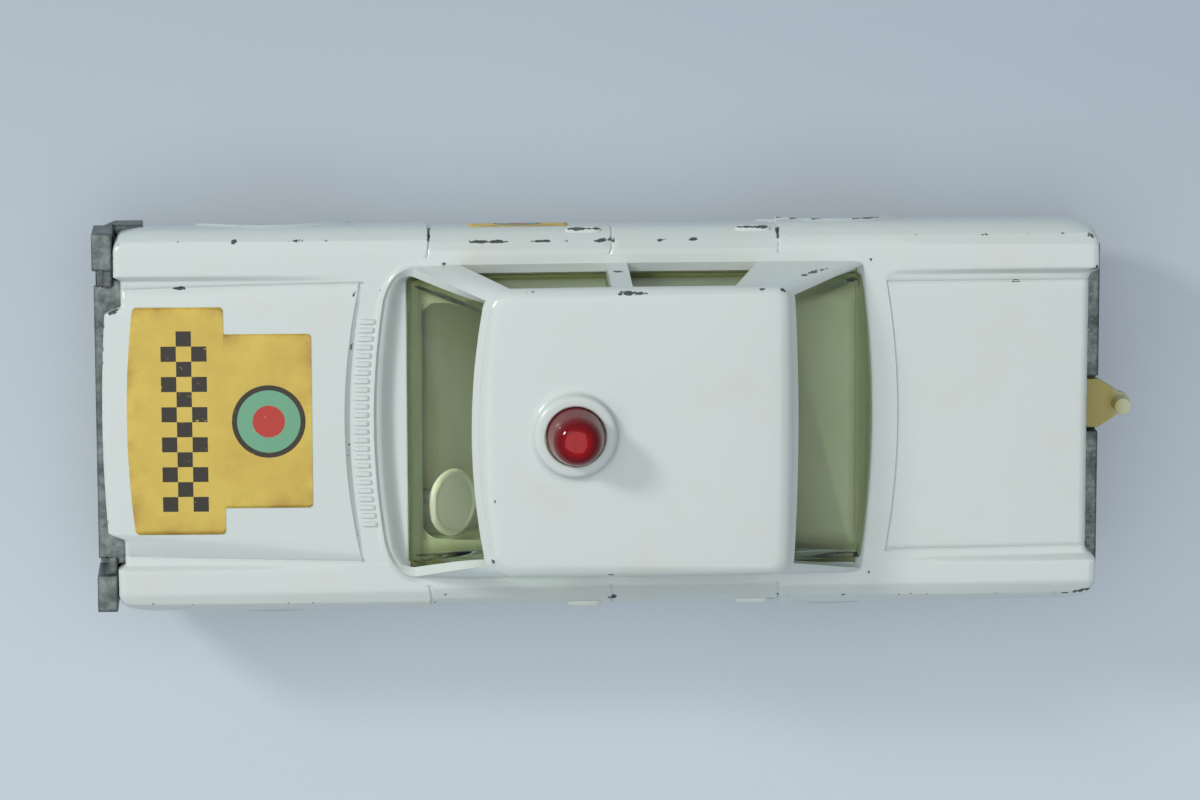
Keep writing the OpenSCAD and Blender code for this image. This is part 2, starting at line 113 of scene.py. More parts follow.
def cornerArcs(p, rounds, most):
    # quadratic arcs for the inner corners of polylines (..., corner, 2), each of so many points and starting
    # 'reach' before its corner, but at most so much of the leg
    legs = np.diff(p, axis=-2)
    size = np.linalg.norm(legs, axis=-1)[..., None, None]
    arcs = []
    for i, (reach, steps) in enumerate(rounds, 1):
        t = np.linspace(0, 1, steps)[:, None]
        here = p[..., i:i + 1, :]
        a = here - legs[..., i - 1:i, :] * np.minimum(reach / size[..., i - 1, :, :], most)
        b = here + legs[..., i:i + 1, :] * np.minimum(reach / size[..., i, :, :], most)
        arcs.append((1 - t) ** 2 * a + 2 * t * (1 - t) * here + t ** 2 * b)
    return arcs


def roundCorners(points, reach, steps):
    # polyline with all its inner corners rounded alike
    p = np.asarray(points, float)
    return np.concatenate([p[:1], *cornerArcs(p, [(reach, steps)] * (len(p) - 2), 0.48), p[-1:]])


def signedPower(a, exponent):
    # keeps the sign, so a circle's sine and cosine become a super-ellipse's
    return np.sign(a) * np.abs(a) ** exponent


def surface(points, keep=None, closed=False, flip=False):
    # rows of points with their quads; keep masks them, closed joins the last column to the first, and flip
    # turns them over
    rows, cols = points.shape[:2]
    r, c = np.meshgrid(np.arange(rows - 1), np.arange(cols if closed else cols - 1), indexing="ij")
    n = (c + 1) % cols
    quads = np.stack([r * cols + c, (r + 1) * cols + c, (r + 1) * cols + n, r * cols + n], -1)
    quads = quads.reshape(-1, 4) if keep is None else quads[keep]
    return points, quads[:, ::-1] if flip else quads


def addWall(points, quads, inward, weld):
    # the sheet again, moved by its inward vectors and turned over, and a strip along every open edge
    offGrid = 0.137  # keeps points on round numbers away from the cells' borders
    _, spot = np.unique(np.round(points / weld + offGrid), axis=0, return_inverse=True)
    edges = np.stack([quads, np.roll(quads, -1, 1)], -1).reshape(-1, 2)
    ends = np.sort(spot.reshape(-1)[edges], 1)
    _, first, count = np.unique(ends @ [len(points), 1], return_index=True, return_counts=True)
    isOpen = (count == 1) & (ends[first, 0] != ends[first, 1])
    a, b = edges[first[isOpen]].T
    n = len(points)
    return (np.concatenate([points, points + inward]),
            np.concatenate([quads, quads[:, ::-1] + n, np.stack([b, a, a + n, b + n], 1)]))


def placePiece(name, mesh, body, material, node, sharp):
    # smooth object, sharp past so many degrees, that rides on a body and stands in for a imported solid
    mesh.materials.clear()
    mesh.materials.append(material)
    mesh.shade_smooth()
    mesh.set_sharp_from_angle(angle=np.radians(sharp))
    piece = bpy.data.objects.new(name, mesh)
    bpy.context.collection.objects.link(piece)
    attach(piece, body)
    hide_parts(node)
    return piece


def makePiece(name, grids, body, material, node, weld=0.002, wear=None, inward=None):
    # joins (points in mm, quads) grids into one welded piece; inward gives it a wall, wear its chipped edges
    counts = np.cumsum([0] + [len(p.reshape(-1, 3)) for p, _ in grids])
    points = np.concatenate([p.reshape(-1, 3) for p, _ in grids])
    quads = np.concatenate([q + n for (_, q), n in zip(grids, counts)])
    if inward is not None:
        points, quads = addWall(points, quads, np.concatenate([v.reshape(-1, 3) for v in inward]), weld)
    mesh = bpy.data.meshes.new(name)
    mesh.from_pydata((points * mm).tolist(), [], quads.tolist())
    if wear is not None:
        worn = np.zeros(len(points), np.float32)
        worn[:counts[-1]] = np.concatenate([w.reshape(-1) for w in wear])
        layer = mesh.attributes.new("edgeWear", "FLOAT", "POINT")
        layer.data.foreach_set("value", worn)
    bm = bmesh.new()
    bm.from_mesh(mesh)
    bmesh.ops.remove_doubles(bm, verts=bm.verts, dist=weld * mm)
    bmesh.ops.dissolve_degenerate(bm, edges=bm.edges, dist=weld * mm / 4)
    bmesh.ops.delete(bm, geom=[v for v in bm.verts if not v.link_faces], context="VERTS")
    bm.to_mesh(mesh)
    bm.free()
    return placePiece(name, mesh, body, material, node, 35)


def copyOfNode(node, name, body, material, bevel, clamp=True):
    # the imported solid's own shape with its edges rounded as a mould would;
    # clamp narrows every round where the closest ones would meet
    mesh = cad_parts[node].data.copy()
    mesh.name = name
    bm = bmesh.new()
    bm.from_mesh(mesh)
    bmesh.ops.remove_doubles(bm, verts=bm.verts, dist=0.002 * mm)
    bmesh.ops.dissolve_limit(bm, angle_limit=np.radians(1), verts=bm.verts, edges=bm.edges)
    bm.to_mesh(mesh)
    bm.free()
    piece = placePiece(name, mesh, body, material, node, 30)
    edge = piece.modifiers.new("softEdges", "BEVEL")
    edge.width = bevel * mm
    edge.segments = 3
    edge.limit_method = "ANGLE"
    edge.angle_limit = np.radians(35)
    edge.use_clamp_overlap = clamp
    edge.harden_normals = True
    edge.miter_outer = "MITER_ARC"


def thicken(piece, thickness):
    # gives a film its thickness on the inner side
    wall = piece.modifiers.new("wall", "SOLIDIFY")
    wall.thickness = thickness * mm
    wall.offset = -1


def revolve(profile, centre, axis, turns=96, cut=0, teeth=0):
    # profile rows (distance along the axis, radius) spun round the axis through centre, cut in between teeth
    angle = np.linspace(0, 2 * np.pi, turns, endpoint=False)
    radius = profile[:, 1:2] - np.reshape(cut, (-1, 1)) * (np.sin(angle * teeth) > 0)
    ring = [radius * np.cos(angle), radius * np.sin(angle)]
    flat = profile[:, :1] * np.ones(turns)
    spun = {"y": [ring[1], flat, ring[0]], "z": [ring[0], ring[1], flat]}[axis]
    return surface(np.stack(spun, -1) + np.asarray(centre), closed=True, flip=axis == "y")


# white enamel: thick sprayed paint over the casting, glossy with a faint orange peel, chipped to dark metal
def whiteEnamel():
    material, add, shader, place = newMaterial("white_enamel")
    stain = add("TexNoise", {"Vector": place, "Scale": 0.16, "Detail": 4, "Roughness": 0.6})
    stained = add("MapRange", {0: stain, 1: 0.52, 2: 0.75, 4: 0.5})
    paint = add("Mix", {0: stained, 6: "#d3dedb", 7: "#d2d5c6"})
    worn = add("Attribute", attribute_name="edgeWear")
    flakes = add("TexNoise", {"Vector": place, "Scale": 1.5, "Detail": 5, "Roughness": 0.68})
    chance = add("Math", {0: flakes, 1: worn.outputs["Fac"]}, operation="ADD")
    chip = add("MapRange", {0: chance, 1: 0.97, 2: 0.985})
    color = add("Mix", {0: chip, 6: paint, 7: "#454d50"})
    rough = add("MapRange", {0: chip, 3: 0.2, 4: 0.6})
    peel = add("TexNoise", {"Vector": place, "Scale": 0.7, "Detail": 2})
    height = add("Math", {0: peel, 1: chip}, operation="SUBTRACT")
    bump = add("Bump", {"Height": height, "Strength": 0.25, "Distance": 0.05 * mm})
    setInputs(shader, {"Base Color": color, "Roughness": rough, "Normal": bump, "IOR": 1.5,
                       "Coat Weight": 0.35, "Coat Roughness": 0.08})
    return material


# bare zinc: as cast, dull grey with a pitted grain about 0.3 mm wide, darker hollows and rounded edges
def bareZinc():
    material, add, shader, place = newMaterial("bare_cast_zinc")
    blotch = add("TexNoise", {"Vector": place, "Scale": 0.8, "Detail": 5, "Roughness": 0.65})
    grain = add("TexNoise", {"Vector": place, "Scale": 3.4, "Detail": 3, "Roughness": 0.6})
    tone = add("MapRange", {0: blotch, 1: 0.35, 2: 0.68})
    color = add("Mix", {0: tone, 6: "#58625f", 7: "#87918f"})
    rough = add("MapRange", {0: grain, 1: 0.3, 2: 0.7, 3: 0.34, 4: 0.6})
    rounded = add("Bevel", {0: 0.3 * mm}, samples=6)
    bump = add("Bump", {"Height": grain, "Strength": 0.55, "Distance": 0.06 * mm, "Normal": rounded})
    setInputs(shader, {"Base Color": color, "Roughness": rough, "Normal": bump, "Metallic": 0.85})
    return material


# clear polystyrene: moulded windows a little green with age, glossy, with faint flow ripples
def clearGlazing():
    material, add, shader, place = newMaterial("clear_polystyrene")
    haze = add("TexNoise", {"Vector": place, "Scale": 0.12, "Detail": 2})
    color = add("Mix", {0: haze, 6: "#e4efe2", 7: "#eef5ec"})
    ripple = add("TexNoise", {"Vector": place, "Scale": 0.2, "Detail": 1})
    bump = add("Bump", {"Height": ripple, "Strength": 0.1, "Distance": 0.1 * mm})
    setInputs(shader, {"Base Color": color, "Normal": bump, "Roughness": 0.03, "IOR": 1.5,
                       "Transmission Weight": 1.0})
    # lamp light goes straight through, so the seats are lit
    ray = add("LightPath")
    through = add("BsdfTransparent", {0: "#d9e2d6"})
    lit = add("MixShader", {0: ray.outputs["Is Shadow Ray"], 1: shader, 2: through})
    setInputs(material.node_tree.nodes["Material Output"], {0: lit})
    return material


# ivory polystyrene: waxy sheen, yellowed in blotches, with painted shade: darker olive along the side and
# rear windows and darker still behind the windscreen; amber on the bare tongue and pale at its peg
def ivoryMoulding(name, dark, light):
    material, add, shader, place = newMaterial(name)
    age = add("TexNoise", {"Vector": place, "Scale": 0.3, "Detail": 3})
    indoors = add("Mix", {0: age, 6: dark, 7: light})
    xyz = add("SeparateXYZ", {0: place})
    x, y = xyz.outputs[:2]
    side = add("Math", {0: y}, operation="ABSOLUTE")
    # painted shade: the interior is coloured darker olive near the side windows, at the rear window and
    # behind the windscreen, where shade falls
    nearSide = add("MapRange", {0: side, 1: 8.5, 2: 9.6, 4: 0.85})
    nearScreen = add("MapRange", {0: x, 1: 13.6, 2: 14.3, 4: 0.9})
    nearRear = add("MapRange", {0: x, 1: -16.4, 2: -17.4, 4: 0.9})
    rimShade = add("Math", {0: nearSide, 1: nearRear}, operation="MAXIMUM")
    rimShaded = add("Mix", {0: rimShade, 6: indoors, 7: "#868a5c"})
    screenShaded = add("Mix", {0: nearScreen, 6: rimShaded, 7: "#595f3f"})
    outdoors = add("MapRange", {0: x, 1: -33, 2: -34.5, 4: 0.9})
    atPeg = add("MapRange", {0: x, 1: -36.5, 2: -37.1, 4: 0.7})
    tongue = add("Mix", {0: atPeg, 6: "#b6a750", 7: "#d3d9bd"})
    color = add("Mix", {0: outdoors, 6: screenShaded, 7: tongue})
    grain = add("TexNoise", {"Vector": place, "Scale": 2.5, "Detail": 2})
    bump = add("Bump", {"Height": grain, "Strength": 0.15, "Distance": 0.04 * mm})
    setInputs(shader, {"Base Color": color, "Normal": bump, "Roughness": 0.36, "IOR": 1.55,
                       "Subsurface Weight": 0.15, "Subsurface Radius": (0.6, 0.5, 0.25),
                       "Subsurface Scale": 0.4 * mm})
    return material


# red polystyrene: clear moulded lens, with painted light: bright red in the middle as if lit through its thin
# crown, deep red at the sides
def redLens(centreX):
    material, add, shader, place = newMaterial("red_polystyrene_lens")
    fromAxis = add("VectorMath", {0: place, 1: (centreX, 0, 0)}, operation="SUBTRACT")
    flat = add("VectorMath", {0: fromAxis, 1: (1, 1, 0)}, operation="MULTIPLY")
    radius = add("VectorMath", {0: flat}, operation="LENGTH")
    # painted light and shade: the colour fades from a lit bright red in the middle to deep red at the sides
    paintedGlowFade = add("MapRange", {0: radius, 1: 0.6, 2: 1.3}, interpolation_type="SMOOTHSTEP")
    color = add("Mix", {0: paintedGlowFade, 6: "#a80d16", 7: "#74101a"})
    setInputs(shader, {"Base Color": color, "Roughness": 0.06, "IOR": 1.4})
    return material


# black polythene: moulded wheels, low sheen with a fine mould grain and dusty wear
def blackPlastic():
    material, add, shader, place = newMaterial("black_moulded_polythene")
    dust = add("TexNoise", {"Vector": place, "Scale": 0.8, "Detail": 5, "Roughness": 0.65})
    amount = add("MapRange", {0: dust, 1: 0.45, 2: 0.75, 4: 0.6})
    color = add("Mix", {0: amount, 6: "#17181a", 7: "#3a3b3a"})
    rough = add("MapRange", {0: dust, 3: 0.38, 4: 0.65})
    grain = add("TexNoise", {"Vector": place, "Scale": 4, "Detail": 2})
    bump = add("Bump", {"Height": grain, "Strength": 0.2, "Distance": 0.03 * mm})
    setInputs(shader, {"Base Color": color, "Roughness": rough, "Normal": bump})
    return material


# steel wire: drawn, with fine scratches along it and a dull worn shine
def steelWire():
    material, add, shader, place = newMaterial("drawn_steel_wire")
    stretch = add("Mapping", {0: place, "Scale": (6, 0.6, 6)})
    streak = add("TexNoise", {"Vector": stretch, "Scale": 1, "Detail": 3})
    color = add("Mix", {0: streak, 6: "#8c8d8a", 7: "#bdbebb"})
    rough = add("MapRange", {0: streak, 3: 0.25, 4: 0.45})
    setInputs(shader, {"Base Color": color, "Roughness": rough, "Metallic": 1.0})
    return material


# printed film: varnished paper gone mustard with age, browner in blotches, with black, teal and red print:
# a round target of a radius in mm, and a band of squares if checker gives its square, ends and half width
def printedFilm(name, centre, turn, radius, checker):
    material, add, shader, place = newMaterial(name)
    local = add("Mapping", {0: place, "Location": centre, "Rotation": turn}, vector_type="POINT")
    xyz = add("SeparateXYZ", {0: local})
    x, y = xyz.outputs[:2]
    age = add("TexNoise", {"Vector": place, "Scale": 0.35, "Detail": 5, "Roughness": 0.6})
    aged = add("MapRange", {0: age, 1: 0.42, 2: 0.75, 4: 0.75})
    color = add("Mix", {0: aged, 6: "#dcc156", 7: "#cdaa44"})
    flat = add("CombineXYZ", {0: x, 1: y})
    away = add("VectorMath", {0: flat}, operation="LENGTH")
    layers = [(add("Math", {0: away, 1: radius * share}, operation="LESS_THAN"), ink)
              for share, ink in ((1, "#2e2818"), (0.86, "#6fae8b"), (0.44, "#c03428"))]
    if checker:
        square, bandStart, bandEnd, bandHalf = checker
        cell = add("CombineXYZ", {0: x, 1: y, 2: 0.5 * square})
        board = add("TexChecker", {0: cell, "Scale": 1 / square})
        side = add("Math", {0: y}, operation="ABSOLUTE")
        mask = board.outputs["Fac"]
        for value, limit, operation in ((x, bandStart, "GREATER_THAN"), (x, bandEnd, "LESS_THAN"),
                                        (side, bandHalf, "LESS_THAN")):
            inside = add("Math", {0: value, 1: limit}, operation=operation)
            mask = add("Math", {0: mask, 1: inside}, operation="MULTIPLY")
        layers.append((mask, "#2a2418"))
    speck = add("TexNoise", {"Vector": place, "Scale": 2.2, "Detail": 4, "Roughness": 0.7})
    hold = add("MapRange", {0: speck, 1: 0.28, 2: 0.36})
    for amount, ink in layers:
        printed = add("Math", {0: amount, 1: hold}, operation="MULTIPLY")
        color = add("Mix", {0: printed, 6: color, 7: ink})
    worn = add("Attribute", attribute_name="edgeWear")
    frayed = add("Math", {0: worn.outputs["Fac"], 1: aged}, operation="MULTIPLY")
    color = add("Mix", {0: frayed, 6: color, 7: "#8a5a22"})
    bump = add("Bump", {"Height": speck, "Strength": 0.12, "Distance": 0.03 * mm})
    setInputs(shader, {"Base Color": color, "Normal": bump, "Roughness": 0.42})
    return material


# pale studio floor: matt sheet, faintly uneven at random, with painted light making it lighter towards +y
def paleFloor():
    material, add, shader, place = newMaterial("pale_matt_sheet")
    cloud = add("TexNoise", {"Vector": place, "Scale": 0.01, "Detail": 2})
    # painted light: the sheet is coloured lighter towards +y and a little towards +x
    across = add("VectorMath", {0: place, 1: (0.12, 1, 0)}, operation="DOT_PRODUCT")
    paintedLightRamp = add("MapRange", {0: across, 1: -30, 2: 40, 3: -0.35, 4: 0.75})
    faint = add("MapRange", {0: cloud, 3: 0.35, 4: 0.65})
    amount = add("Math", {0: paintedLightRamp, 1: faint}, operation="ADD")
    color = add("Mix", {0: amount, 6: "#aebac6", 7: "#ccd8e1"})
    setInputs(shader, {"Base Color": color, "Roughness": 0.8})
    # part of what the camera, metal and glass see is the sheet's plain colour, which keeps the shadow faint
    ray = add("LightPath").outputs
    seen = add("Math", {0: ray["Is Camera Ray"], 1: ray["Is Glossy Ray"]}, operation="ADD")
    seen = add("Math", {0: seen, 1: ray["Is Transmission Ray"]}, operation="ADD", use_clamp=True)
    share = add("Math", {0: seen, 1: 0.3}, operation="MULTIPLY")
    plain = add("Emission", {0: color, 1: 1.0})
    mixed = add("MixShader", {0: share, 1: shader, 2: plain})
    setInputs(material.node_tree.nodes["Material Output"], {0: mixed})
    return material


enamel = whiteEnamel()
zinc = bareZinc()
ivory = ivoryMoulding("aged_ivory_polystyrene", "#c3c4a0", "#d2d3bd")
print("stage: materials made")

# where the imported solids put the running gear, in mm
wheelNames = [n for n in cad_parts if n.endswith(("left_wheel", "right_wheel"))]
wheelBoxes = {n: np.array(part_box(n)) / mm for n in wheelNames}
axleX = {end: wheelBoxes[end + "_left_wheel"][:, 0].mean() for end in ("front", "rear")}
axleZ = wheelBoxes["front_left_wheel"][:, 2].mean()
lensBox = np.array(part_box("dome_light")) / mm
lensX = lensBox[:, 0].mean()

# lower shell: sizes in mm, x forward from mid length
shell = {
    "noseX": 36.4, "lipX": 37.38, "valleyX": 35.9, "tailX": -34.75, "bootEdgeX": -34.1,
    "endRound": 0.35, "cornerRound": 0.9, "stretchX": 28, "lipBow": 0.0045,
    "lipSides": (8.0, 8.6), "noseSides": (10.35, 10.75), "bootSides": (10.1, 10.7),
    "waist": 14.1, "crease": 13.27, "waistZ": 10.3, "sillZ": 3.4, "tuck": (0.25, 0.95), "doorSink": 0.2,
    "taper": 0.12, "pinch": 0.2, "noseTaperX": 33.6, "tailTaperX": -32.2,
    "frontFaceFoot": 7.0, "rearFaceFoot": 8.2, "lipFoot": 10.9,
    "frontCutX": 34.3, "rearCutX": -33.35, "archRadius": 5.35, "archLip": 0.17,
    "doorLines": (13.76, 0.55, -11.5), "bootLine": -20.2, "lineWidth": 0.26, "lineDepth": 0.14,
    "bonnetLine": 19.75, "bonnetBow": 0.0112, "gapRows": (-0.2, -0.11, 0.11, 0.2), "gapDepth": 0.15,
    "shutHalf": 0.11, "shutDepth": 0.13, "doorEdgeDepth": 0.1, "lineStep": 0.2, "lidDrop": 0.03,
    "valleyRun": (19.4, 21.5), "bootRun": (-20.9, -20.0), "stripDrop": 0.05, "finRise": (0.02, 0.3),
    "stripEdge": 10.42, "wingEdge": 10.76, "wingTop": 11.3, "ledge": 12.45,
    "shelfX": 15.27, "shelfDepth": 0.9, "rearShelfX": -18.62, "cabinHalf": 11.62,
    "wall": 0.7, "wallTurn": (11.4, 12.5), "wallDrop": (10.95, 11.75),
    "gapHalf": 10.25, "bootHalf": 9.95, "doorEdge": 11.9, "sinkFrom": 12, "sinkDrop": 0.35,
    "doorFoot": (4.2, 4.8), "doorLineFoot": (4.4, 4.9), "finRun": (-20, -35), "lipEnds": (10.3, 10.6),
    "revealIn": 0.3, "revealRun": 1.2, "revealHalf": 11.3, "splitZ": 10.08, "splitRise": 0.45,
    "lipFade": (0.4, 0.72), "lipRise": 0.8,
}
rowFront = shell["noseX"] - shell["cornerRound"]
rowBack = shell["tailX"] + shell["cornerRound"]

# knocks where the paint is off: straight runs in x at (y, z), each from, to and half width; then other runs
knockRuns = {
    (-13.08, 12.05): [(11.0, 7.9, 0.2), (6.4, 4.9, 0.18), (3.7, 3.4, 0.25), (2.0, 1.6, 0.25),
                      (-2.5, -3.0, 0.25), (-5.0, -5.6, 0.25)],
    (-13.85, 11.5): [(3.9, 1.3, 0.2), (-8.3, -10.9, 0.2)],
    (13.3, 12.0): [(-24.9, -26.0, 0.24), (-27.0, -27.1, 0.28), (-28.0, -28.3, 0.28)],
    (13.3, 12.1): [(-31.5, -32.0, 0.24)], (13.25, 12.2): [(-32.5, -32.8, 0.25)],
    (-13.3, 12.0): [(27.8, 27.4, 0.26)], (-13.3, 12.1): [(23.3, 22.7, 0.25)],
    (-10.15, 18.15): [(0.4, -1.4, 0.3)], (10.25, 18.1): [(1.1, 0.9, 0.3)],
    (-10.38, 18.1): [(6.56, 6.3, 0.3)], (-10.4, 18.1): [(-9.66, -9.9, 0.3)],
    (13.4, 11.6): [(13.4, 13.2, 0.26)], (12.8, 12.3): [(13.0, 12.6, 0.24)],
    (13.5, 11.4): [(-10.9, -11.6, 0.26)], (-9.83, 12.3): [(-28.4, -29.3, 0.18)],
    (-9.9, 11.7): [(31.4, 31.6, 0.26)], (-7.0, 12.4): [(25.2, 25.3, 0.28)],
}
knocks = [((a, y, z), (b, y, z), width) for (y, z), runs in knockRuns.items() for a, b, width in runs] + [
    ((13.76, -13.2, 12.1), (13.76, -13.9, 10.4), 0.3), ((-11.5, -13.2, 11.9), (-11.5, -13.7, 11.2), 0.3),
    ((-10.3, -14.1, 6.6), (-11.5, -14.15, 8.6), 0.22), ((-11.5, -14.15, 8.6), (-12.9, -14.2, 9.75), 0.22),
    ((-13.9, -14.2, 10.1), (-14.9, -14.2, 10.35), 0.2), ((-17.3, -14.2, 10.2), (-18.9, -14.2, 9.4), 0.22),
    ((0.6, -13.4, 11.7), (0.5, -13.0, 12.15), 0.24), ((0.4, -11.1, 14.3), (-0.05, -11.1, 14.2), 0.35),
    ((-12.95, -10.7, 15.3), (-14.75, -11.25, 14.0), 0.42),
    ((-11.17, -10.23, 17.95), (-11.4, -10.2, 17.95), 0.35),
    ((12.82, -11.58, 12.5), (12.5, -11.6, 12.5), 0.3), ((-34.2, -12.9, 12.5), (-34.0, -13.1, 12.3), 0.32),
    ((-34.4, -10.84, 12.7), (-34.2, -10.7, 12.7), 0.28), ((-27.9, -10.76, 12.7), (-28.2, -10.74, 12.7), 0.24),
    ((-33.3, 13.2, 12.3), (-34.4, 12.9, 12.4), 0.28), ((36.7, -8.1, 11.8), (36.3, -8.3, 11.7), 0.32),
    ((19.2, -9.3, 12.4), (18.7, -10.1, 12.4), 0.22), ((17.4, -9.7, 12.5), (17.2, -9.9, 12.5), 0.26),
    ((9.4, -4.1, 18.2), (9.3, -3.7, 18.2), 0.32), ((10.1, -0.3, 18.1), (10.1, 0.1, 18.1), 0.24),
    ((9.4, 4.6, 18.25), (9.35, 4.9, 18.25), 0.32), ((9.4, 9.2, 17.9), (9.3, 9.3, 17.9), 0.32),
    ((0.55, 13.3, 11.7), (0.5, 13.1, 12.0), 0.26), ((-11.9, 10.0, 17.9), (-12.1, 9.9, 17.9), 0.28),
]

# paint wear: the strength of each edge's chips and how far they reach, in mm
chips = {
    "crease": (0.36, 0.28), "arch": (0.4, 0.25), "door": (0.36, 0.16), "nose": (0.38, 0.25),
    "tail": (0.38, 0.3), "shut": (0.3, 0.15), "bonnet": (0.36, 0.25),
    "knock": 0.64, "relief": 0.22, "gutter": 0.3, "pillar": 0.16,
}

# curves along the car: height of the wing tops and belt, half width where the crowned bonnet or the boot lid
# starts to fall, half width of the engraved line between them and the wings
deckLevel = partial(easeThrough, knots=[(36.4, 11.95), (30, 12.15), (20, 12.42), (15, 12.45), (0, 12.45),
                                        (-18, 12.47), (-28, 12.58), (-34.75, 12.6)])
softEdge = partial(easeThrough, knots=[(37.5, 8.5), (27, 8.55), (20, 8.8), (0, 9.2), (-19, 9.3), (-36, 9.25)])
shutLine = partial(easeThrough, knots=[(37.5, 9.7), (35.9, 9.75), (27.5, 10.0), (18.7, 10.2), (0, 10.0),
                                       (-19.7, 9.88), (-36, 9.8)])


def creaseLevel(x):
    # height of the flank's upper edge, a little below the wing tops
    return deckLevel(x) - easeThrough(x, [(36.4, 0.2), (20, 0.3), (0, 0.34), (-20, 0.34), (-34.75, 0.24)])


def bonnetCrown(x):
    # mid height and edge height of bonnet, cowl and boot lid along the car
    step = shell["lineStep"]
    front = ramp(x, shell["bonnetLine"] - step, shell["bonnetLine"] + step)
    boot = 1 - ramp(x, shell["bootLine"] - step, shell["bootLine"] + step)
    bonnetMid = easeThrough(x, [(37.5, 11.98), (35, 12.2), (28, 12.5), (20, 12.72)])
    bonnetSide = easeThrough(x, [(37.5, 11.8), (35, 11.98), (28, 12.25), (20, 12.5)])
    bootMid = easeThrough(x, [(-36, 12.12), (-30, 12.34), (-19, 12.52)])
    level = deckLevel(x)
    mid = level + front * (bonnetMid - level) + boot * (bootMid - level)
    side = level + front * (bonnetSide - level) + boot * (bootMid - shell["lidDrop"] - level)
    return mid, side


def bonnetHeight(x, y):
    # the bonnet's crowned surface, a parabola across at each station
    mid, side = bonnetCrown(x)
    soft = softEdge(x)
    return mid + (side - mid) * y ** 2 / (soft * (soft - 0.5))


def doorSink(x, z):
    # how far the doors lie inside the wings
    half = shell["lineWidth"] / 2
    front, _, rear = shell["doorLines"]
    along = ramp(x, rear - half, rear + half) * (1 - ramp(x, front - half, front + half))
    return shell["doorSink"] * along * ramp(z, *shell["doorFoot"])


def flankHalf(x, z, creaseZ):
    # half width: bulges to the waist, tucks under below it, rolls in to the crease above it
    up = between(z, shell["waistZ"], creaseZ)
    low = between(z, shell["waistZ"], shell["sillZ"])
    half = shell["waist"] - (shell["waist"] - shell["crease"]) * up ** 2.4
    half = half - shell["tuck"][0] * low - shell["tuck"][1] * low ** 3
    nose = between(x, shell["noseTaperX"], rowFront) ** 2
    tail = between(x, shell["tailTaperX"], rowBack) ** 2
    taper = shell["taper"] * (x / 36) ** 2 + shell["pinch"] * (nose + tail)
    return half - taper * (1 - up ** 3) - doorSink(x, z)


def stations():
    # rows along the car, close together at the arches, panel lines, screens and ends
    half = shell["lineWidth"] / 2
    marks = [x + d for x in (*shell["doorLines"], shell["bootLine"]) for d in (-half, 0, half)]
    marks += [shell["bonnetLine"] + d for d in shell["gapRows"]]
    turn = np.cos(np.linspace(0, np.pi, 17)) * shell["archRadius"]
    lips = shell["archRadius"] + np.array([0.1, 0.25, 0.4, 0.56, 0.72])
    arches = [x + np.concatenate([turn, lips, -lips]) for x in axleX.values()]
    cuts = [shell["frontCutX"], shell["frontCutX"] + 0.1, shell["rearCutX"], shell["rearCutX"] - 0.1]
    ends = np.concatenate([np.linspace(33, rowFront, 10), np.linspace(rowBack, -32, 8)])
    firm = np.concatenate([marks, *arches, cuts, [shell["shelfX"], shell["rearShelfX"]], ends])
    loose = np.concatenate([np.arange(-33, 35, 0.75), np.arange(15.5, 20.6, 0.22),
                            np.arange(-20.6, -17.2, 0.4)])
    loose = loose[np.abs(loose[:, None] - firm).min(1) > 0.09]
    return np.unique(np.round(np.concatenate([firm, loose]), 4))


def endReach(x):
    # share of each end's plan shape that a row takes: 0 amidships, 1 at the end rows
    return between(x, shell["stretchX"], rowFront), between(x, -shell["stretchX"], rowBack)


def deckColumns(x):
    # half section from the middle out: crowned panel, its fall, shut line, wing edge, ledge and crease
    mid, side = bonnetCrown(x + endReach(x)[0] * (shell["lipX"] - shell["endRound"] - rowFront))
    level = deckLevel(x)
    front, boot = ramp(x, *shell["valleyRun"]), 1 - ramp(x, *shell["bootRun"])
    engraved = ramp(x, 19.5, 19.8) + 1 - ramp(x, -20.35, -20.1)
    line, gap = shutLine(x), shell["shutHalf"]
    valley = easeThrough(x, [(37.5, 11.45), (34, 11.62), (28, 11.92), (22, 12.3), (19, 12.42)])
    strip = level + front * (valley - level) + boot * (side - shell["stripDrop"] - level)
    finFoot, finRise = shell["finRise"]
    wing = level + boot * (finFoot + finRise * between(x, *shell["finRun"]))
    at = lambda edge: np.full_like(x, shell[edge])
    corners = [(0 * x, mid), (softEdge(x), side), (line - gap, strip),
               (line, strip - shell["shutDepth"] * engraved), (line + gap, strip),
               (at("stripEdge"), strip + 0.02), (at("wingEdge"), wing), (at("wingTop"), wing),
               (at("ledge"), wing - 0.04), (at("crease"), creaseLevel(x))]
    p = np.stack([np.stack(c, -1) for c in corners], 1)
    # reach and number of points of each corner's arc
    rounds = [(0.5, 7), (0.03, 2), (0.04, 3), (0.03, 2), (0.12, 4), (0.14, 4), (0.3, 4), (0.3, 4)]
    arcs = cornerArcs(p, rounds, 0.45)
    s = np.concatenate([np.linspace(0, 0.88, 14), np.linspace(0.88, 1, 8)[1:-1]])
    first = arcs[0][:, :1]
    crownZ = mid[:, None] + (first[..., 1] - mid[:, None]) * s ** 2
    crown = np.stack([first[..., 0] * s, crownZ], -1)
    last = arcs[-1][:, -1:]
    outer = last + (p[:, -1:] - last) * np.array([0.4, 0.7, 0.9, 1])[:, None]
    section = np.concatenate([crown, *arcs, outer], 1)
    return section[..., 0], section[..., 1]


def cornerTurn(y):
    # angle round the plan corner: 0 inside it, a quarter turn at the crease
    return np.arcsin(np.clip((np.abs(y) - shell["crease"]) / shell["cornerRound"] + 1, 0, 1))


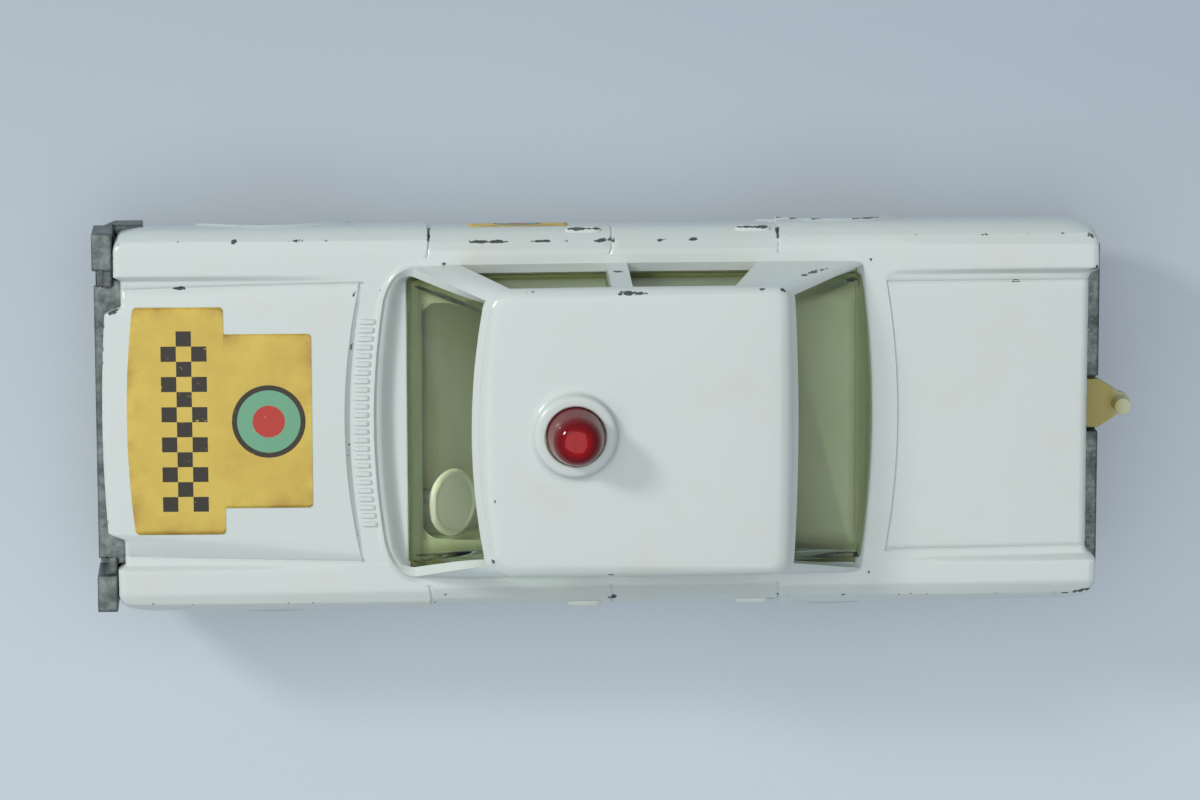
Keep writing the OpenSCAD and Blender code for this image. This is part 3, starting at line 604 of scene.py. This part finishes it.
def endLine(y, front):
    # how far forward or back the deck reaches at each half width, its outer corners rounded
    corner = shell["cornerRound"] * (1 - np.cos(cornerTurn(y)))
    y = np.abs(y)
    if front:
        lip = shell["lipX"] - shell["lipBow"] * y ** 2
        x = lip + (shell["valleyX"] - lip) * ramp(y, *shell["lipSides"])
        return x + (shell["noseX"] - shell["valleyX"]) * ramp(y, *shell["noseSides"]) - corner
    tail = (shell["tailX"] - shell["bootEdgeX"]) * ramp(y, *shell["bootSides"])
    return shell["bootEdgeX"] + tail + corner


def screenLine(y):
    # front edge of the windscreen opening in plan
    f, y = cabin["front"], np.abs(y)
    bow = f["footBow"] * np.minimum(y, f["footY"]) ** 2
    return f["footX"] - bow - cabin["cornerBow"] * np.clip(y - f["footY"], 0, 3) ** 2


def lowerShell():
    x = stations()
    y, z = deckColumns(x)
    # full width from the right crease to the left one
    y = np.concatenate([-y[:, :0:-1], y], 1)
    z = np.concatenate([z[:, :0:-1], z], 1)
    grow = np.abs(y)
    # rows bow towards the ends near the screens, and stretch to the stepped ends
    bow = easeThrough(x, [(37, 0), (27, 0), (shell["bonnetLine"], shell["bonnetBow"]), (17.6, 0.009),
                          (shell["shelfX"], 0), (-10, 0), (-17, -0.005), (shell["rearShelfX"], -0.0065),
                          (shell["bootLine"], -0.0088), (-24, -0.004), (-28, 0), (-36, 0)])
    xs = x[:, None] - bow[:, None] * np.minimum(grow, 10) ** 2 * (1 - ramp(grow, 10.4, 13))
    endOut = shell["endRound"] * np.cos(cornerTurn(y))
    reachFront, reachBack = endReach(x)
    xs = xs + reachFront[:, None] * (endLine(y, True) - endOut - rowFront)
    xs = xs + reachBack[:, None] * (endLine(y, False) + endOut - rowBack)
    # engraved lines: the middle rows of each set sink
    isGap = np.abs(x - shell["bonnetLine"]) < 0.12
    z = z - shell["gapDepth"] * (isGap[:, None] & (grow < shell["gapHalf"]))
    isBoot = np.abs(x - shell["bootLine"]) < 1e-3
    z = z - shell["lineDepth"] * (isBoot[:, None] & (grow < shell["bootHalf"]))
    isDoor = np.abs(x[:, None] - shell["doorLines"]).min(1) < 1e-3
    z = z - shell["doorEdgeDepth"] * (isDoor[:, None] & (grow > shell["doorEdge"]))
    # doors lie inside the wings
    outer = between(grow, shell["sinkFrom"], shell["crease"])
    sink = doorSink(x, shell["waistZ"])[:, None]
    y = y - np.sign(y) * sink * outer
    z = z - shell["sinkDrop"] * sink * outer
    # sloping reveal and sunk shelf inside the windscreen
    reveal = ramp(screenLine(y) - shell["revealIn"] - xs, 0, shell["revealRun"])
    z = z - shell["shelfDepth"] * reveal * (xs > 10) * (grow < shell["revealHalf"])
    deck = np.stack([xs, y, z], -1)
    # flank columns from the crease down to the sill, arch or end cut
    creaseZ = z[:, -1]
    foot = np.full_like(x, shell["sillZ"])
    for centre in axleX.values():
        across = np.abs(x - centre)
        inArch = across <= shell["archRadius"] + 1e-4
        foot[inArch] = axleZ + np.sqrt(np.maximum(shell["archRadius"] ** 2 - across[inArch] ** 2, 0))
    foot[x > shell["frontCutX"] + 0.005] = shell["frontFaceFoot"]
    foot[x < shell["rearCutX"] - 0.005] = shell["rearFaceFoot"]
    upper = np.linspace(0, 1, 10) ** 1.5
    lower = 1 - np.linspace(1, 0, 15)[1:] ** 1.5
    split = np.maximum(shell["splitZ"], foot + shell["splitRise"])
    flankZ = np.concatenate([creaseZ[:, None] + (split - creaseZ)[:, None] * upper,
                             split[:, None] + (foot - split)[:, None] * lower], 1)
    flankX = x[:, None] * np.ones(flankZ.shape[1])
    half = flankHalf(flankX, flankZ, creaseZ[:, None])
    for centre in axleX.values():
        away = np.hypot(flankX - centre, flankZ - axleZ) - shell["archRadius"]
        rise = ramp(flankZ, axleZ - shell["lipRise"], axleZ + shell["lipRise"])
        half = half + shell["archLip"] * (1 - ramp(away, *shell["lipFade"])) * rise
    half = half - shell["lineDepth"] * isDoor[:, None] * ramp(flankZ, *shell["doorLineFoot"])
    half[:, 0] = y[:, -1]
    grids = [surface(deck, keep=~cabinHole(x, y))]
    for side in (1, -1):
        grids.append(surface(np.stack([flankX, side * half, flankZ], -1)[:, ::side]))
    # end faces hang from the deck's first and last rows, at the flank's own levels
    for front, row in ((True, -1), (False, 0)):
        top = deck[row]
        level = (creaseZ[row] - flankZ[row]) / (creaseZ[row] - flankZ[row, -1])
        footFace = shell["frontFaceFoot"] if front else shell["rearFaceFoot"]
        footLine = np.full(len(top), footFace)
        if front:
            outside = ramp(np.abs(top[:, 1]), *shell["lipEnds"])
            footLine = shell["lipFoot"] + (footFace - shell["lipFoot"]) * outside
        faceZ = top[:, 2] + (footLine - top[:, 2]) * level[:, None]
        drop = np.minimum((top[:, 2] - faceZ) / shell["endRound"], 1)
        out = endOut[row] * np.sqrt(1 - (1 - drop) ** 2)
        faceX = top[:, 0] + (out if front else -out)
        spread = between(np.abs(top[:, 1]), shell["wingEdge"], shell["crease"])
        faceY = top[:, 1] + np.sign(top[:, 1]) * spread * (half[row] - shell["crease"])[:, None]
        grids.append(surface(np.stack([faceX, faceY, faceZ], -1)[::1 if front else -1]))
    return grids


def shellInward(p):
    # which way the casting's wall lies: down under the deck, in from the flanks, back from the end faces,
    # and both ways near their shared edges
    x, y, z = p[..., 0], p[..., 1], p[..., 2]
    back = np.clip(1 - (endLine(y, True) - x), 0, 1) - np.clip(1 - (x - endLine(y, False)), 0, 1)
    side = np.sign(y) * between(np.abs(y), *shell["wallTurn"])
    under = between(z, *shell["wallDrop"])
    return -shell["wall"] * np.stack([back, side, under], -1)


def cabinInward(p):
    # against the surface normal, from the steps along and round the rings
    normal = np.cross(np.gradient(p, axis=0), np.roll(p, -1, 1) - np.roll(p, 1, 1))
    return -shell["wall"] * normal / np.linalg.norm(normal, axis=-1, keepdims=True)


def cabinHole(x, y):
    # deck quads that lie under the open cabin
    inX = (x[1:] <= shell["shelfX"] + 1e-3) & (x[:-1] >= shell["rearShelfX"] - 1e-3)
    quadY = np.abs(y[:, 1:] + y[:, :-1]) / 2
    return inX[:, None] & (quadY[1:] < shell["cabinHalf"])


def knockWear(p):
    # a bell round the nearest point of each knock's run
    wear = np.zeros(p.shape[:-1])
    for start, end, width in knocks:
        start, leg = np.array(start), np.subtract(end, start)
        share = np.clip((p - start) @ leg / (leg @ leg), 0, 1)
        away = np.linalg.norm(p - start - share[..., None] * leg, axis=-1)
        wear = np.maximum(wear, chips["knock"] * np.exp(-(away / width) ** 2))
    return wear


def edgeWear(p):
    # how likely the paint is chipped: high along creases, wing ends and arch lips, highest at the knocks
    x, y, z = p[..., 0], np.abs(p[..., 1]), p[..., 2]

    def worn(edge, away, where=True):
        strength, reach = chips[edge]
        return strength * np.exp(-(away / reach) ** 2) * where

    onTop = z > np.where(y < 10.4, bonnetCrown(x)[1], deckLevel(x)) - 0.35
    fromBonnet = x - shell["bonnetLine"] + shell["bonnetBow"] * y ** 2
    layers = [knockWear(p), worn("crease", np.hypot(y - shell["crease"], z - creaseLevel(x))),
              worn("nose", x - endLine(y, True), onTop), worn("tail", x - endLine(y, False), onTop),
              worn("shut", y - shutLine(x), np.abs(x) > 20), worn("bonnet", fromBonnet, y < 10.2)]
    layers += [worn("door", x - line, (y > 12.6) & (z > 5)) for line in shell["doorLines"]]
    for centre in axleX.values():
        fromLip = np.hypot(x - centre, z - axleZ) - shell["archRadius"] - 0.15
        layers.append(worn("arch", fromLip, y > 13))
    return np.max(layers, axis=0)


# cabin: plan points of the foot and of the roof edge, front to rear on one side, in mm; then the profiles of
# fillet (out, up), gutter (in, share of the rise) and roof boss (radius, height)
cabin = {
    "gutterZ": 17.78, "roofZ": 18.62, "roofFall": (0.34, 0.3), "roofHalf": (11.7, 10.5), "roofMidX": -0.8,
    "headShare": 0.93, "cornerBow": 0.3,
    "front": dict(footX=17.84, topX=10.43, footY=9.0, topY=8.8, footBow=0.0092, topBow=0.0103),
    "corner": dict(foot=[(16.5, 11.2), (14.95, 11.3)], top=[(9.6, 9.3), (9.5, 9.45)]),
    "pillarA": dict(foot=[(13.3, 11.45), (11.54, 11.48)], top=[(9.0, 10.25), (7.95, 10.36)]),
    "pillarB": dict(foot=[(1.05, 11.5), (-0.5, 11.5)], top=[(0.9, 10.4), (-0.58, 10.4)]),
    "pillarC": dict(foot=[(-9.95, 11.48), (-16.9, 11.42)], top=[(-7.75, 10.4), (-10.9, 10.36)]),
    "tail": dict(foot=(-17.6, 11.44), top=(-11.75, 10.2)),
    "rear": dict(footX=-18.37, topX=-12.0, footY=11.0, topY=9.2, footBow=0.0063, topBow=0.0026),
    "rimLift": (1.0, 0.2, 0.12), "bossFoot": 3.25, "midX": -0.27, "footHalf": (18.1, 11.5),
    "fillet": ((0.62, -0.06), (0.4, 0.0), (0.2, 0.05), (0.06, 0.13), (0.0, 0.24)),
    "gutter": ((0.02, 0.3), (0.14, 0.58), (0.34, 0.8), (0.62, 0.94), (1.0, 1.0)),
    "boss": ((3.08, 18.68), (3.0, 18.78), (2.97, 19.0), (2.9, 19.12), (2.75, 19.19), (2.5, 19.2),
             (2.25, 19.19), (2.17, 19.12), (2.16, 18.9), (2.16, 18.2)),
}


def cabinHalfRing(key):
    # one side of the foot or roof-edge ring; also the column numbers where each stretch starts
    f, r = cabin["front"], cabin["rear"]
    fy = np.linspace(0, f[key + "Y"], 21)
    front = np.c_[f[key + "X"] - f[key + "Bow"] * fy ** 2, fy]
    ry = np.linspace(r[key + "Y"], 0, 13)
    rear = np.c_[r[key + "X"] + r[key + "Bow"] * ry ** 2, ry]
    bend, cornerEnd = (np.array(p) for p in cabin["corner"][key])
    aBend, a = (np.array(p) for p in cabin["pillarA"][key])
    b0, b1 = (np.array(p) for p in cabin["pillarB"][key])
    c0, c1 = (np.array(p) for p in cabin["pillarC"][key])

    def arc(p, middle, q, n):
        t = np.linspace(0, 1, n + 1)[1:, None]
        return (1 - t) ** 2 * p + 2 * t * (1 - t) * np.array(middle) + t ** 2 * q

    leg = lambda p, q, n: p + (q - p) * np.linspace(0, 1, n + 1)[1:, None]
    parts = [front, arc(front[-1], bend, cornerEnd, 8), arc(cornerEnd, aBend, a, 6), leg(a, b0, 16),
             leg(b0, b1, 5), leg(b1, c0, 14), leg(c0, c1, 14), arc(c1, cabin["tail"][key], rear[0], 8),
             rear[1:]]
    starts = np.cumsum([len(p) for p in parts]) - 1
    return np.concatenate(parts), starts


def cabinRings():
    # closed rings, front middle to the right side and round, with outward normals of the foot
    foot, starts = cabinHalfRing("foot")
    top, _ = cabinHalfRing("top")
    both = lambda h: np.concatenate([h * [1, -1], h[-2:0:-1]])
    foot, top = both(foot), both(top)
    tangent = np.roll(foot, -1, 0) - np.roll(foot, 1, 0)
    normal = np.c_[-tangent[:, 1], tangent[:, 0]]
    normal /= np.linalg.norm(normal, axis=1, keepdims=True)
    return foot, top, normal, starts


def roofHeight(x, y):
    # crowned roof, falling to its edges
    (across, along), (halfX, halfY) = cabin["roofFall"], cabin["roofHalf"]
    side, end = np.abs(y / halfY), np.abs((x - cabin["roofMidX"]) / halfX)
    return cabin["roofZ"] - across * side ** 2.6 - along * end ** 3.2


def cabinShell():
    foot, top, normal, starts = cabinRings()
    n = len(foot)
    base = deckLevel(foot[:, 0])
    rows = []
    addRow = lambda xy, z: rows.append(np.c_[xy, z * np.ones(n)])
    # soft fillet from the deck into the walls, standing up round the screen and flat behind the rear window
    vertex = np.minimum(np.arange(n), n - np.arange(n))
    lift = np.select([vertex <= starts[1], vertex < starts[6] + 3], cabin["rimLift"][:2], cabin["rimLift"][2])
    for out, up in cabin["fillet"]:
        addRow(foot + out * normal, base + up * lift)
    sillRow = len(rows) - 1
    sill = base + cabin["fillet"][-1][1] * lift
    for share in np.linspace(0, cabin["headShare"], 17)[1:]:
        addRow(foot + (top - foot) * share, sill + (cabin["gutterZ"] - sill) * share)
    headRow = len(rows) - 1
    centre = np.array([lensX, 0])
    spoke = top - centre
    inward = -spoke / np.linalg.norm(spoke, axis=1, keepdims=True)
    # rounded gutter, then the roof closing on the round boss
    roofEdge = lambda d: top + d * inward
    addRow(roofEdge(-0.04), cabin["gutterZ"])
    for d, share in cabin["gutter"]:
        p = roofEdge(d)
        addRow(p, cabin["gutterZ"] + (roofHeight(p[:, 0], p[:, 1]) - cabin["gutterZ"]) * share)
    start = p
    ring = -inward
    bossFoot = centre + ring * cabin["bossFoot"]
    for share in np.linspace(0, 1, 13)[1:]:
        p = start + (bossFoot - start) * share
        addRow(p, roofHeight(p[:, 0], p[:, 1]))
    roofRow = len(rows) - 1
    for radius, z in cabin["boss"]:
        addRow(centre + ring * radius, z)
    points = np.stack(rows)
    keep = np.ones((len(rows) - 1, n), bool)
    column = np.minimum(np.arange(n), n - 1 - np.arange(n))
    inWindow = (column < starts[1]) | ((column >= starts[2]) & (column < starts[3]))
    inWindow |= (column >= starts[4]) & (column < starts[5])
    inWindow |= column >= starts[6] + 6
    keep[sillRow:headRow] &= ~inWindow
    gap = np.abs(np.arange(len(rows)) - (headRow + 3))
    wear = chips["gutter"] * np.exp(-(gap / 1.6) ** 2)[:, None] * np.ones(n)
    wear[sillRow + 1:headRow] = chips["pillar"]
    wear[roofRow:] = 0
    return surface(points, keep, closed=True), np.maximum(wear, knockWear(points))


# door handles: rounded bars cast on the flanks
handles = {"at": (2.62, -9.65), "height": 11.25, "half": (1.3, 0.34, 0.25), "sink": 0.05}


def doorHandles():
    # super-ellipsoid bars on both flanks
    u, v = np.meshgrid(np.linspace(-np.pi / 2, np.pi / 2, 9), np.linspace(0, 2 * np.pi, 24, endpoint=False),
                       indexing="ij")
    bar = np.stack([signedPower(np.cos(u), 0.5) * signedPower(np.cos(v), 0.4), signedPower(np.sin(u), 0.6),
                    signedPower(np.cos(u), 0.5) * signedPower(np.sin(v), 0.6)], -1) * handles["half"]
    grids = []
    for at in handles["at"]:
        crease = creaseLevel(np.array(at))
        half = flankHalf(np.array(at), np.array(handles["height"]), crease)
        for side in (1, -1):
            points = bar * [1, side, 1] + [at, side * (half - handles["sink"]), handles["height"]]
            grids.append(surface(points, closed=True, flip=side < 0))
    return grids


# cowl grille: a row of pressed louvres between bonnet and windscreen
louvres = {"count": 25, "half": 7.72, "midX": 18.74, "bow": 0.0102, "depth": 1.3, "height": 0.22,
           "sink": 0.05}


def cowlLouvres():
    # height field with one rounded rib per pitch, its borders under the cowl
    y = np.linspace(-louvres["half"], louvres["half"], louvres["count"] * 10 + 1)
    s = np.linspace(-0.5, 0.5, 11)
    phase = (y + louvres["half"]) / (2 * louvres["half"]) * louvres["count"] * 2 * np.pi
    rib = ramp(-np.cos(phase), -0.75, 0.1)
    edge = ramp(0.5 - np.abs(s), 0.0, 0.16)
    x = louvres["midX"] - louvres["bow"] * y ** 2 + s[:, None] * louvres["depth"]
    z = deckLevel(x) - louvres["sink"] + louvres["height"] * rib * edge[:, None]
    return surface(np.stack([x, y * np.ones_like(x), z], -1))


lowerGrids = lowerShell()
cabinGrid, cabinWear = cabinShell()
louvreGrid = cowlLouvres()
sheets = lowerGrids + [louvreGrid]
wears = [edgeWear(p) for p, _ in lowerGrids] + [np.full(louvreGrid[0].shape[:2], chips["relief"]), cabinWear]
walls = [shellInward(p) for p, _ in sheets] + [cabinInward(cabinGrid[0])]
bodyPiece = makePiece("body_shell_enamelled", sheets + [cabinGrid], carBody, enamel,
                      "body_shell", wear=wears, inward=walls)
handleGrids = doorHandles()
makePiece("door_handles_enamelled", handleGrids, carBody, enamel, "body_shell",
          wear=[np.maximum(chips["relief"], knockWear(p)) for p, _ in handleGrids])
print("stage: body shell", len(bodyPiece.data.polygons), "faces")

# window moulding: follows the cabin walls inside the shell
glazing = {"along": 0.05, "across": 0.85, "wall": 0.45, "flange": 2.6, "topZ": 17.5, "footZ": 11.72,
           "footX": 15.5, "rearLift": 0.7}


def drawnIn(ring, along, across):
    # a cabin ring drawn in towards its middle by so many mm along and across the car
    middle, (halfX, halfY) = np.array([cabin["midX"], 0]), cabin["footHalf"]
    return middle + (ring - middle) * [1 - along / halfX, 1 - across / halfY]


def windowMoulding():
    # the cabin ring drawn in, foot to roof, over a flange and down its inner face
    foot, top, _, _ = cabinRings()
    foot[:, 0] = np.minimum(foot[:, 0], glazing["footX"])
    base = glazing["footZ"] + glazing["rearLift"] * ramp(-foot[:, 0], 16.9, 17.8)

    def level(inset, share, drop):
        ring = drawnIn(foot + (top - foot) * share, glazing["along"] + inset, glazing["across"] + inset)
        return np.c_[ring, base + (glazing["topZ"] - drop - base) * share]

    shares = np.linspace(0, 1, 9)
    rows = [level(0, s, 0) for s in shares] + [level(glazing["flange"], 1, 0)]
    rows += [level(glazing["flange"], 1, glazing["wall"])]
    rows += [level(glazing["wall"], s, glazing["wall"]) for s in shares[::-1]] + rows[:1]
    return surface(np.stack(rows), closed=True)


makePiece("window_moulding", [windowMoulding()], carBody, clearGlazing(), "glazing")
copyOfNode("base_plate", "base_plate_cast", carBody, zinc, 0.1, clamp=False)
copyOfNode("interior", "interior_moulding", carBody, ivory, 0.22)

# interior rim: flat border of the tub that reaches under the window sills
rim = {"outer": 0.05, "inner": 2.6, "front": 15.26, "inFront": 14.4, "top": 11.7, "foot": 11.2}


def interiorRim():
    # a flat band between two drawn-in cabin rings, cut square behind the windscreen shelf
    foot = cabinRings()[0]
    outer, inner = (drawnIn(foot, rim[edge], rim[edge]) for edge in ("outer", "inner"))
    outer[:, 0] = np.minimum(outer[:, 0], rim["front"])
    inner[:, 0] = np.minimum(inner[:, 0], rim["inFront"])
    corners = ((outer, "foot"), (outer, "top"), (inner, "top"), (inner, "foot"), (outer, "foot"))
    rows = [np.c_[ring, np.full(len(ring), rim[z])] for ring, z in corners]
    return surface(np.stack(rows), closed=True)


makePiece("interior_rim", [interiorRim()], carBody, ivory, "interior")
# painted light: a lighter copy of the ivory for the steering wheel, so it looks lit though it sits in shade
# under the glass
ivoryPaintedLighter = ivoryMoulding("ivory_polystyrene_painted_lighter", "#eeecd2", "#f6f4e4")
copyOfNode("steering_wheel", "steering_wheel_moulding", carBody, ivoryPaintedLighter, 0.05)
print("stage: glazing, base and interior")

# a radius this small stands for a pole, and its ring is welded to one point
pole, poleWeld = 0.001, 0.004

# roof light: bullet lens standing in the boss
lens = {"radius": 2.12, "shoulder": 1.66, "crown": 0.8, "foot": 18.4, "side": 19.1, "rise": 2.55, "top": 22.2,
        "round": 0.7}
profile = roundCorners([(lens["top"], 0), (lens["top"], lens["crown"]),
                        (lens["side"] + lens["rise"], lens["shoulder"]), (lens["side"], lens["radius"]),
                        (lens["foot"], lens["radius"]), (lens["foot"], 0)], lens["round"], 9)
profile[[0, -1], 1] = pole
makePiece("roof_light_lens", [revolve(profile, (lensX, 0, 0), "z")], carBody, redLens(lensX),
          "dome_light", weld=poleWeld)

# wheels: one-piece mouldings with a fine tread and dished hub; the profile (distance out from the inner face,
# radius) runs from the bore round the tyre and back to it
wheel = {
    "profile": [(0.0, 0.66), (0.0, 1.5), (0.25, 1.7), (0.25, 3.2), (0.0, 3.4), (0.0, 4.2), (0.3, 4.6),
                (2.7, 4.6), (3.0, 4.2), (3.0, 3.4), (2.9, 3.25), (2.2, 3.05), (2.0, 2.75), (2.0, 2.0),
                (2.16, 1.85), (2.16, 1.5), (2.0, 1.35), (1.95, 0.66)],
    "round": 0.12, "turns": 176, "teeth": 44, "tread": 0.07, "treadRun": (0.5, 2.5), "treadRadius": 4.55,
}
wheelProfile = roundCorners(wheel["profile"], wheel["round"], 4)
wheelProfile = np.concatenate([wheelProfile, wheelProfile[:1]])
out, radius = wheelProfile.T
treadStart, treadEnd = wheel["treadRun"]
tread = wheel["tread"] * ((radius > wheel["treadRadius"]) & (out > treadStart) & (out < treadEnd))
blackWheel = blackPlastic()
for name, corners in wheelBoxes.items():
    centre = (corners[:, 0].mean(), np.abs(corners[:, 1]).min(), corners[:, 2].mean())
    points, quads = revolve(wheelProfile, centre, "y", wheel["turns"], tread, wheel["teeth"])
    if corners[:, 1].mean() < 0:
        points, quads = points * [1, -1, 1], quads[:, ::-1]
    makePiece(name + "_moulded", [(points, quads)], name, blackWheel, name)

# axles: wire with spun heads outside the hubs; head points are (distance in from the end, radius)
axle = {"radius": 0.6, "neck": 0.46, "head": [(0.44, 0.93), (0.12, 0.78), (0, 0.3)], "round": 0.1,
        "turns": 40}
wire = steelWire()
for end in ("front", "rear"):
    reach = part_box(end + "_axle")[1][1] / mm
    half = [(0, axle["radius"]), (reach - axle["neck"], axle["radius"])]
    half = roundCorners(half + [(reach - d, r) for d, r in axle["head"]] + [(reach, pole)], axle["round"], 4)
    whole = np.concatenate([half[::-1] * [-1, 1], half[1:]])
    grid = revolve(whole, (axleX[end], 0, axleZ), "y", axle["turns"])
    makePiece(end + "_axle_wire", [grid], end + "_axle", wire, end + "_axle", weld=poleWeld)
print("stage: lens, wheels and axles")

# bonnet film: wide front part with a narrower tail, laid on the bonnet
film = {"front": 35.6, "step": 28.6, "rear": 22.3, "wide": 8.3, "narrow": 6.35, "corner": 0.3, "lift": 0.05,
        "shift": -0.25, "bow": 0.0075, "thickness": 0.06, "targetX": 25.4, "targetRadius": 2.65,
        "checker": (1.1, 4.4, 7.7, 6.6)}


def bonnetFilm():
    # half width along the bonnet with rounded corners, carried across and laid on the crown
    r = film["corner"]
    turn = np.linspace(0, np.pi / 2, 7)
    nose = film["front"] - r + r * np.cos(turn), film["wide"] - r + r * np.sin(turn)
    shoulder = film["step"] + r - r * np.sin(turn), film["wide"] - r + r * np.cos(turn)
    back = film["rear"] + r - r * np.sin(turn), film["narrow"] - r + r * np.cos(turn)
    wideX = np.linspace(film["front"] - r - 0.3, film["step"] + r + 0.3, 16)
    narrowX = np.linspace(film["step"] - 0.3, film["rear"] + r + 0.3, 16)
    x = np.concatenate([nose[0], wideX, shoulder[0], [film["step"] - 0.01], narrowX, back[0]])
    wide, narrow = np.full(16, film["wide"]), np.full(17, film["narrow"])
    w = np.concatenate([nose[1], wide, shoulder[1], narrow, back[1]])
    order = np.argsort(x)
    x, w = x[order], w[order]
    s = np.linspace(-1, 1, 49)
    y = w[:, None] * s
    xs = x[:, None] * np.ones_like(y)
    inset = np.minimum(w[:, None] - np.abs(y), np.minimum(film["front"] - xs, xs - film["rear"]))
    # the front edge bows with the nose
    xs = xs - film["bow"] * y ** 2 * between(xs, film["step"], film["front"])
    y = y + film["shift"]
    points = np.stack([xs, y, bonnetHeight(xs, y) + film["lift"]], -1)
    return surface(points), np.exp(-np.clip(inset, 0, 9) / 0.5)


filmGrid, filmWear = bonnetFilm()
bonnetPrint = printedFilm("varnished_film_bonnet", (-film["targetX"], -film["shift"], 0), (0, 0, 0),
                          film["targetRadius"], film["checker"])
bonnetPiece = makePiece("bonnet_film", [filmGrid], carBody, bonnetPrint, "bonnet_decal",
                        wear=[filmWear])
thicken(bonnetPiece, film["thickness"])

# door films: rounded rectangles, one on each front door
doorBox = np.array(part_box("door_decal_left")) / mm
doorFilm = {"x": doorBox[:, 0].mean(), "z": doorBox[:, 2].mean(), "half": (3.6, 2.05), "squareness": 0.16,
            "lift": 0.05, "thickness": 0.05, "targetRadius": 1.75}


def doorFilmGrid(side):
    # polar grid drawn out to a super-ellipse and laid on the flank
    r, a = np.meshgrid(np.linspace(pole, 1, 10), np.linspace(0, 2 * np.pi, 96, endpoint=False), indexing="ij")
    x = doorFilm["x"] + r * doorFilm["half"][0] * signedPower(np.cos(a), doorFilm["squareness"])
    z = doorFilm["z"] + r * doorFilm["half"][1] * signedPower(np.sin(a), doorFilm["squareness"])
    y = side * (flankHalf(x, z, creaseLevel(x)) + doorFilm["lift"])
    return surface(np.stack([x, y, z], -1), closed=True, flip=side > 0), np.exp((r - 1) * 6)


for side, word in ((1, "left"), (-1, "right")):
    grid, wear = doorFilmGrid(side)
    paper = printedFilm("varnished_film_door_" + word, (-doorFilm["x"], doorFilm["z"], 0), (np.pi / 2, 0, 0),
                        doorFilm["targetRadius"], None)
    piece = makePiece("door_film_" + word, [grid], carBody, paper, "door_decal_" + word,
                      weld=poleWeld, wear=[wear])
    thicken(piece, doorFilm["thickness"])
print("stage: films laid")

# floor, light and camera
studio = {
    "floorHalf": 3.0, "target": (1.45, 0, 12), "distance": 370, "tiltY": 10.0, "tiltX": 3.5, "roll": -0.76,
    "focalPixels": 5106, "imageWidth": 1200, "dropPixels": 19.1, "lightAim": (0, 0, 0.01),
    "lights": {"key": ((0.58, -0.36, 0.42), 0.13, 2.6, "#fffaf2"),
               "overhead": ((0.15, -0.03, 1.0), 1.3, 6.3, "#fdfdff")},
    "sky": "#e4edf5", "skyStrength": 0.28,
}
half = studio["floorHalf"]
floorMesh = bpy.data.meshes.new("floor")
floorCorners = [(-half, -half, 0), (half, -half, 0), (half, half, 0), (-half, half, 0)]
floorMesh.from_pydata(floorCorners, [], [(0, 1, 2, 3)])
floorMesh.materials.append(paleFloor())
floor = bpy.data.objects.new("floor", floorMesh)
bpy.context.collection.objects.link(floor)

# square soft boxes aimed at the car: place, size, power and colour
for name, (place, size, power, color) in studio["lights"].items():
    lamp = bpy.data.lights.new(name, "AREA")
    lamp.size = size
    lamp.energy = power
    lamp.color = hexColor(color)[:3]
    box = bpy.data.objects.new(name, lamp)
    box.location = place
    box.rotation_euler = (Vector(studio["lightAim"]) - Vector(place)).to_track_quat("-Z", "Y").to_euler()
    bpy.context.collection.objects.link(box)
world = bpy.data.worlds.new("studio")
world.use_nodes = True
setInputs(world.node_tree.nodes["Background"], {0: studio["sky"], 1: studio["skyStrength"]})
bpy.context.scene.world = world

# camera: its axes from the tilts and the roll, its right side pointing to the rear of the car
tiltX, tiltY, roll = np.radians([studio["tiltX"], studio["tiltY"], studio["roll"]])
back = np.array([np.sin(tiltX), -np.sin(tiltY), np.sqrt(1 - np.sin(tiltX) ** 2 - np.sin(tiltY) ** 2)])
right = np.array([-1.0, 0, 0])
right -= right.dot(back) * back
right /= np.linalg.norm(right)
down = np.cross(-back, right)
camX = right * np.cos(roll) - down * np.sin(roll)
camY = -(right * np.sin(roll) + down * np.cos(roll))
spot = (np.array(studio["target"]) + back * studio["distance"]) * mm
camera = bpy.data.cameras.new("camera")
camera.sensor_width = 36
camera.lens = studio["focalPixels"] * camera.sensor_width / studio["imageWidth"]
camera.shift_y = studio["dropPixels"] / studio["imageWidth"]
camera.clip_start = 0.01
cameraObject = bpy.data.objects.new("camera", camera)
cameraObject.matrix_world = Matrix(np.c_[np.r_[np.c_[camX, camY, back], [[0, 0, 0]]], [*spot, 1]].tolist())
bpy.context.collection.objects.link(cameraObject)
bpy.context.scene.camera = cameraObject
bpy.context.scene.view_settings.view_transform = "Standard"
print("stage: studio set")
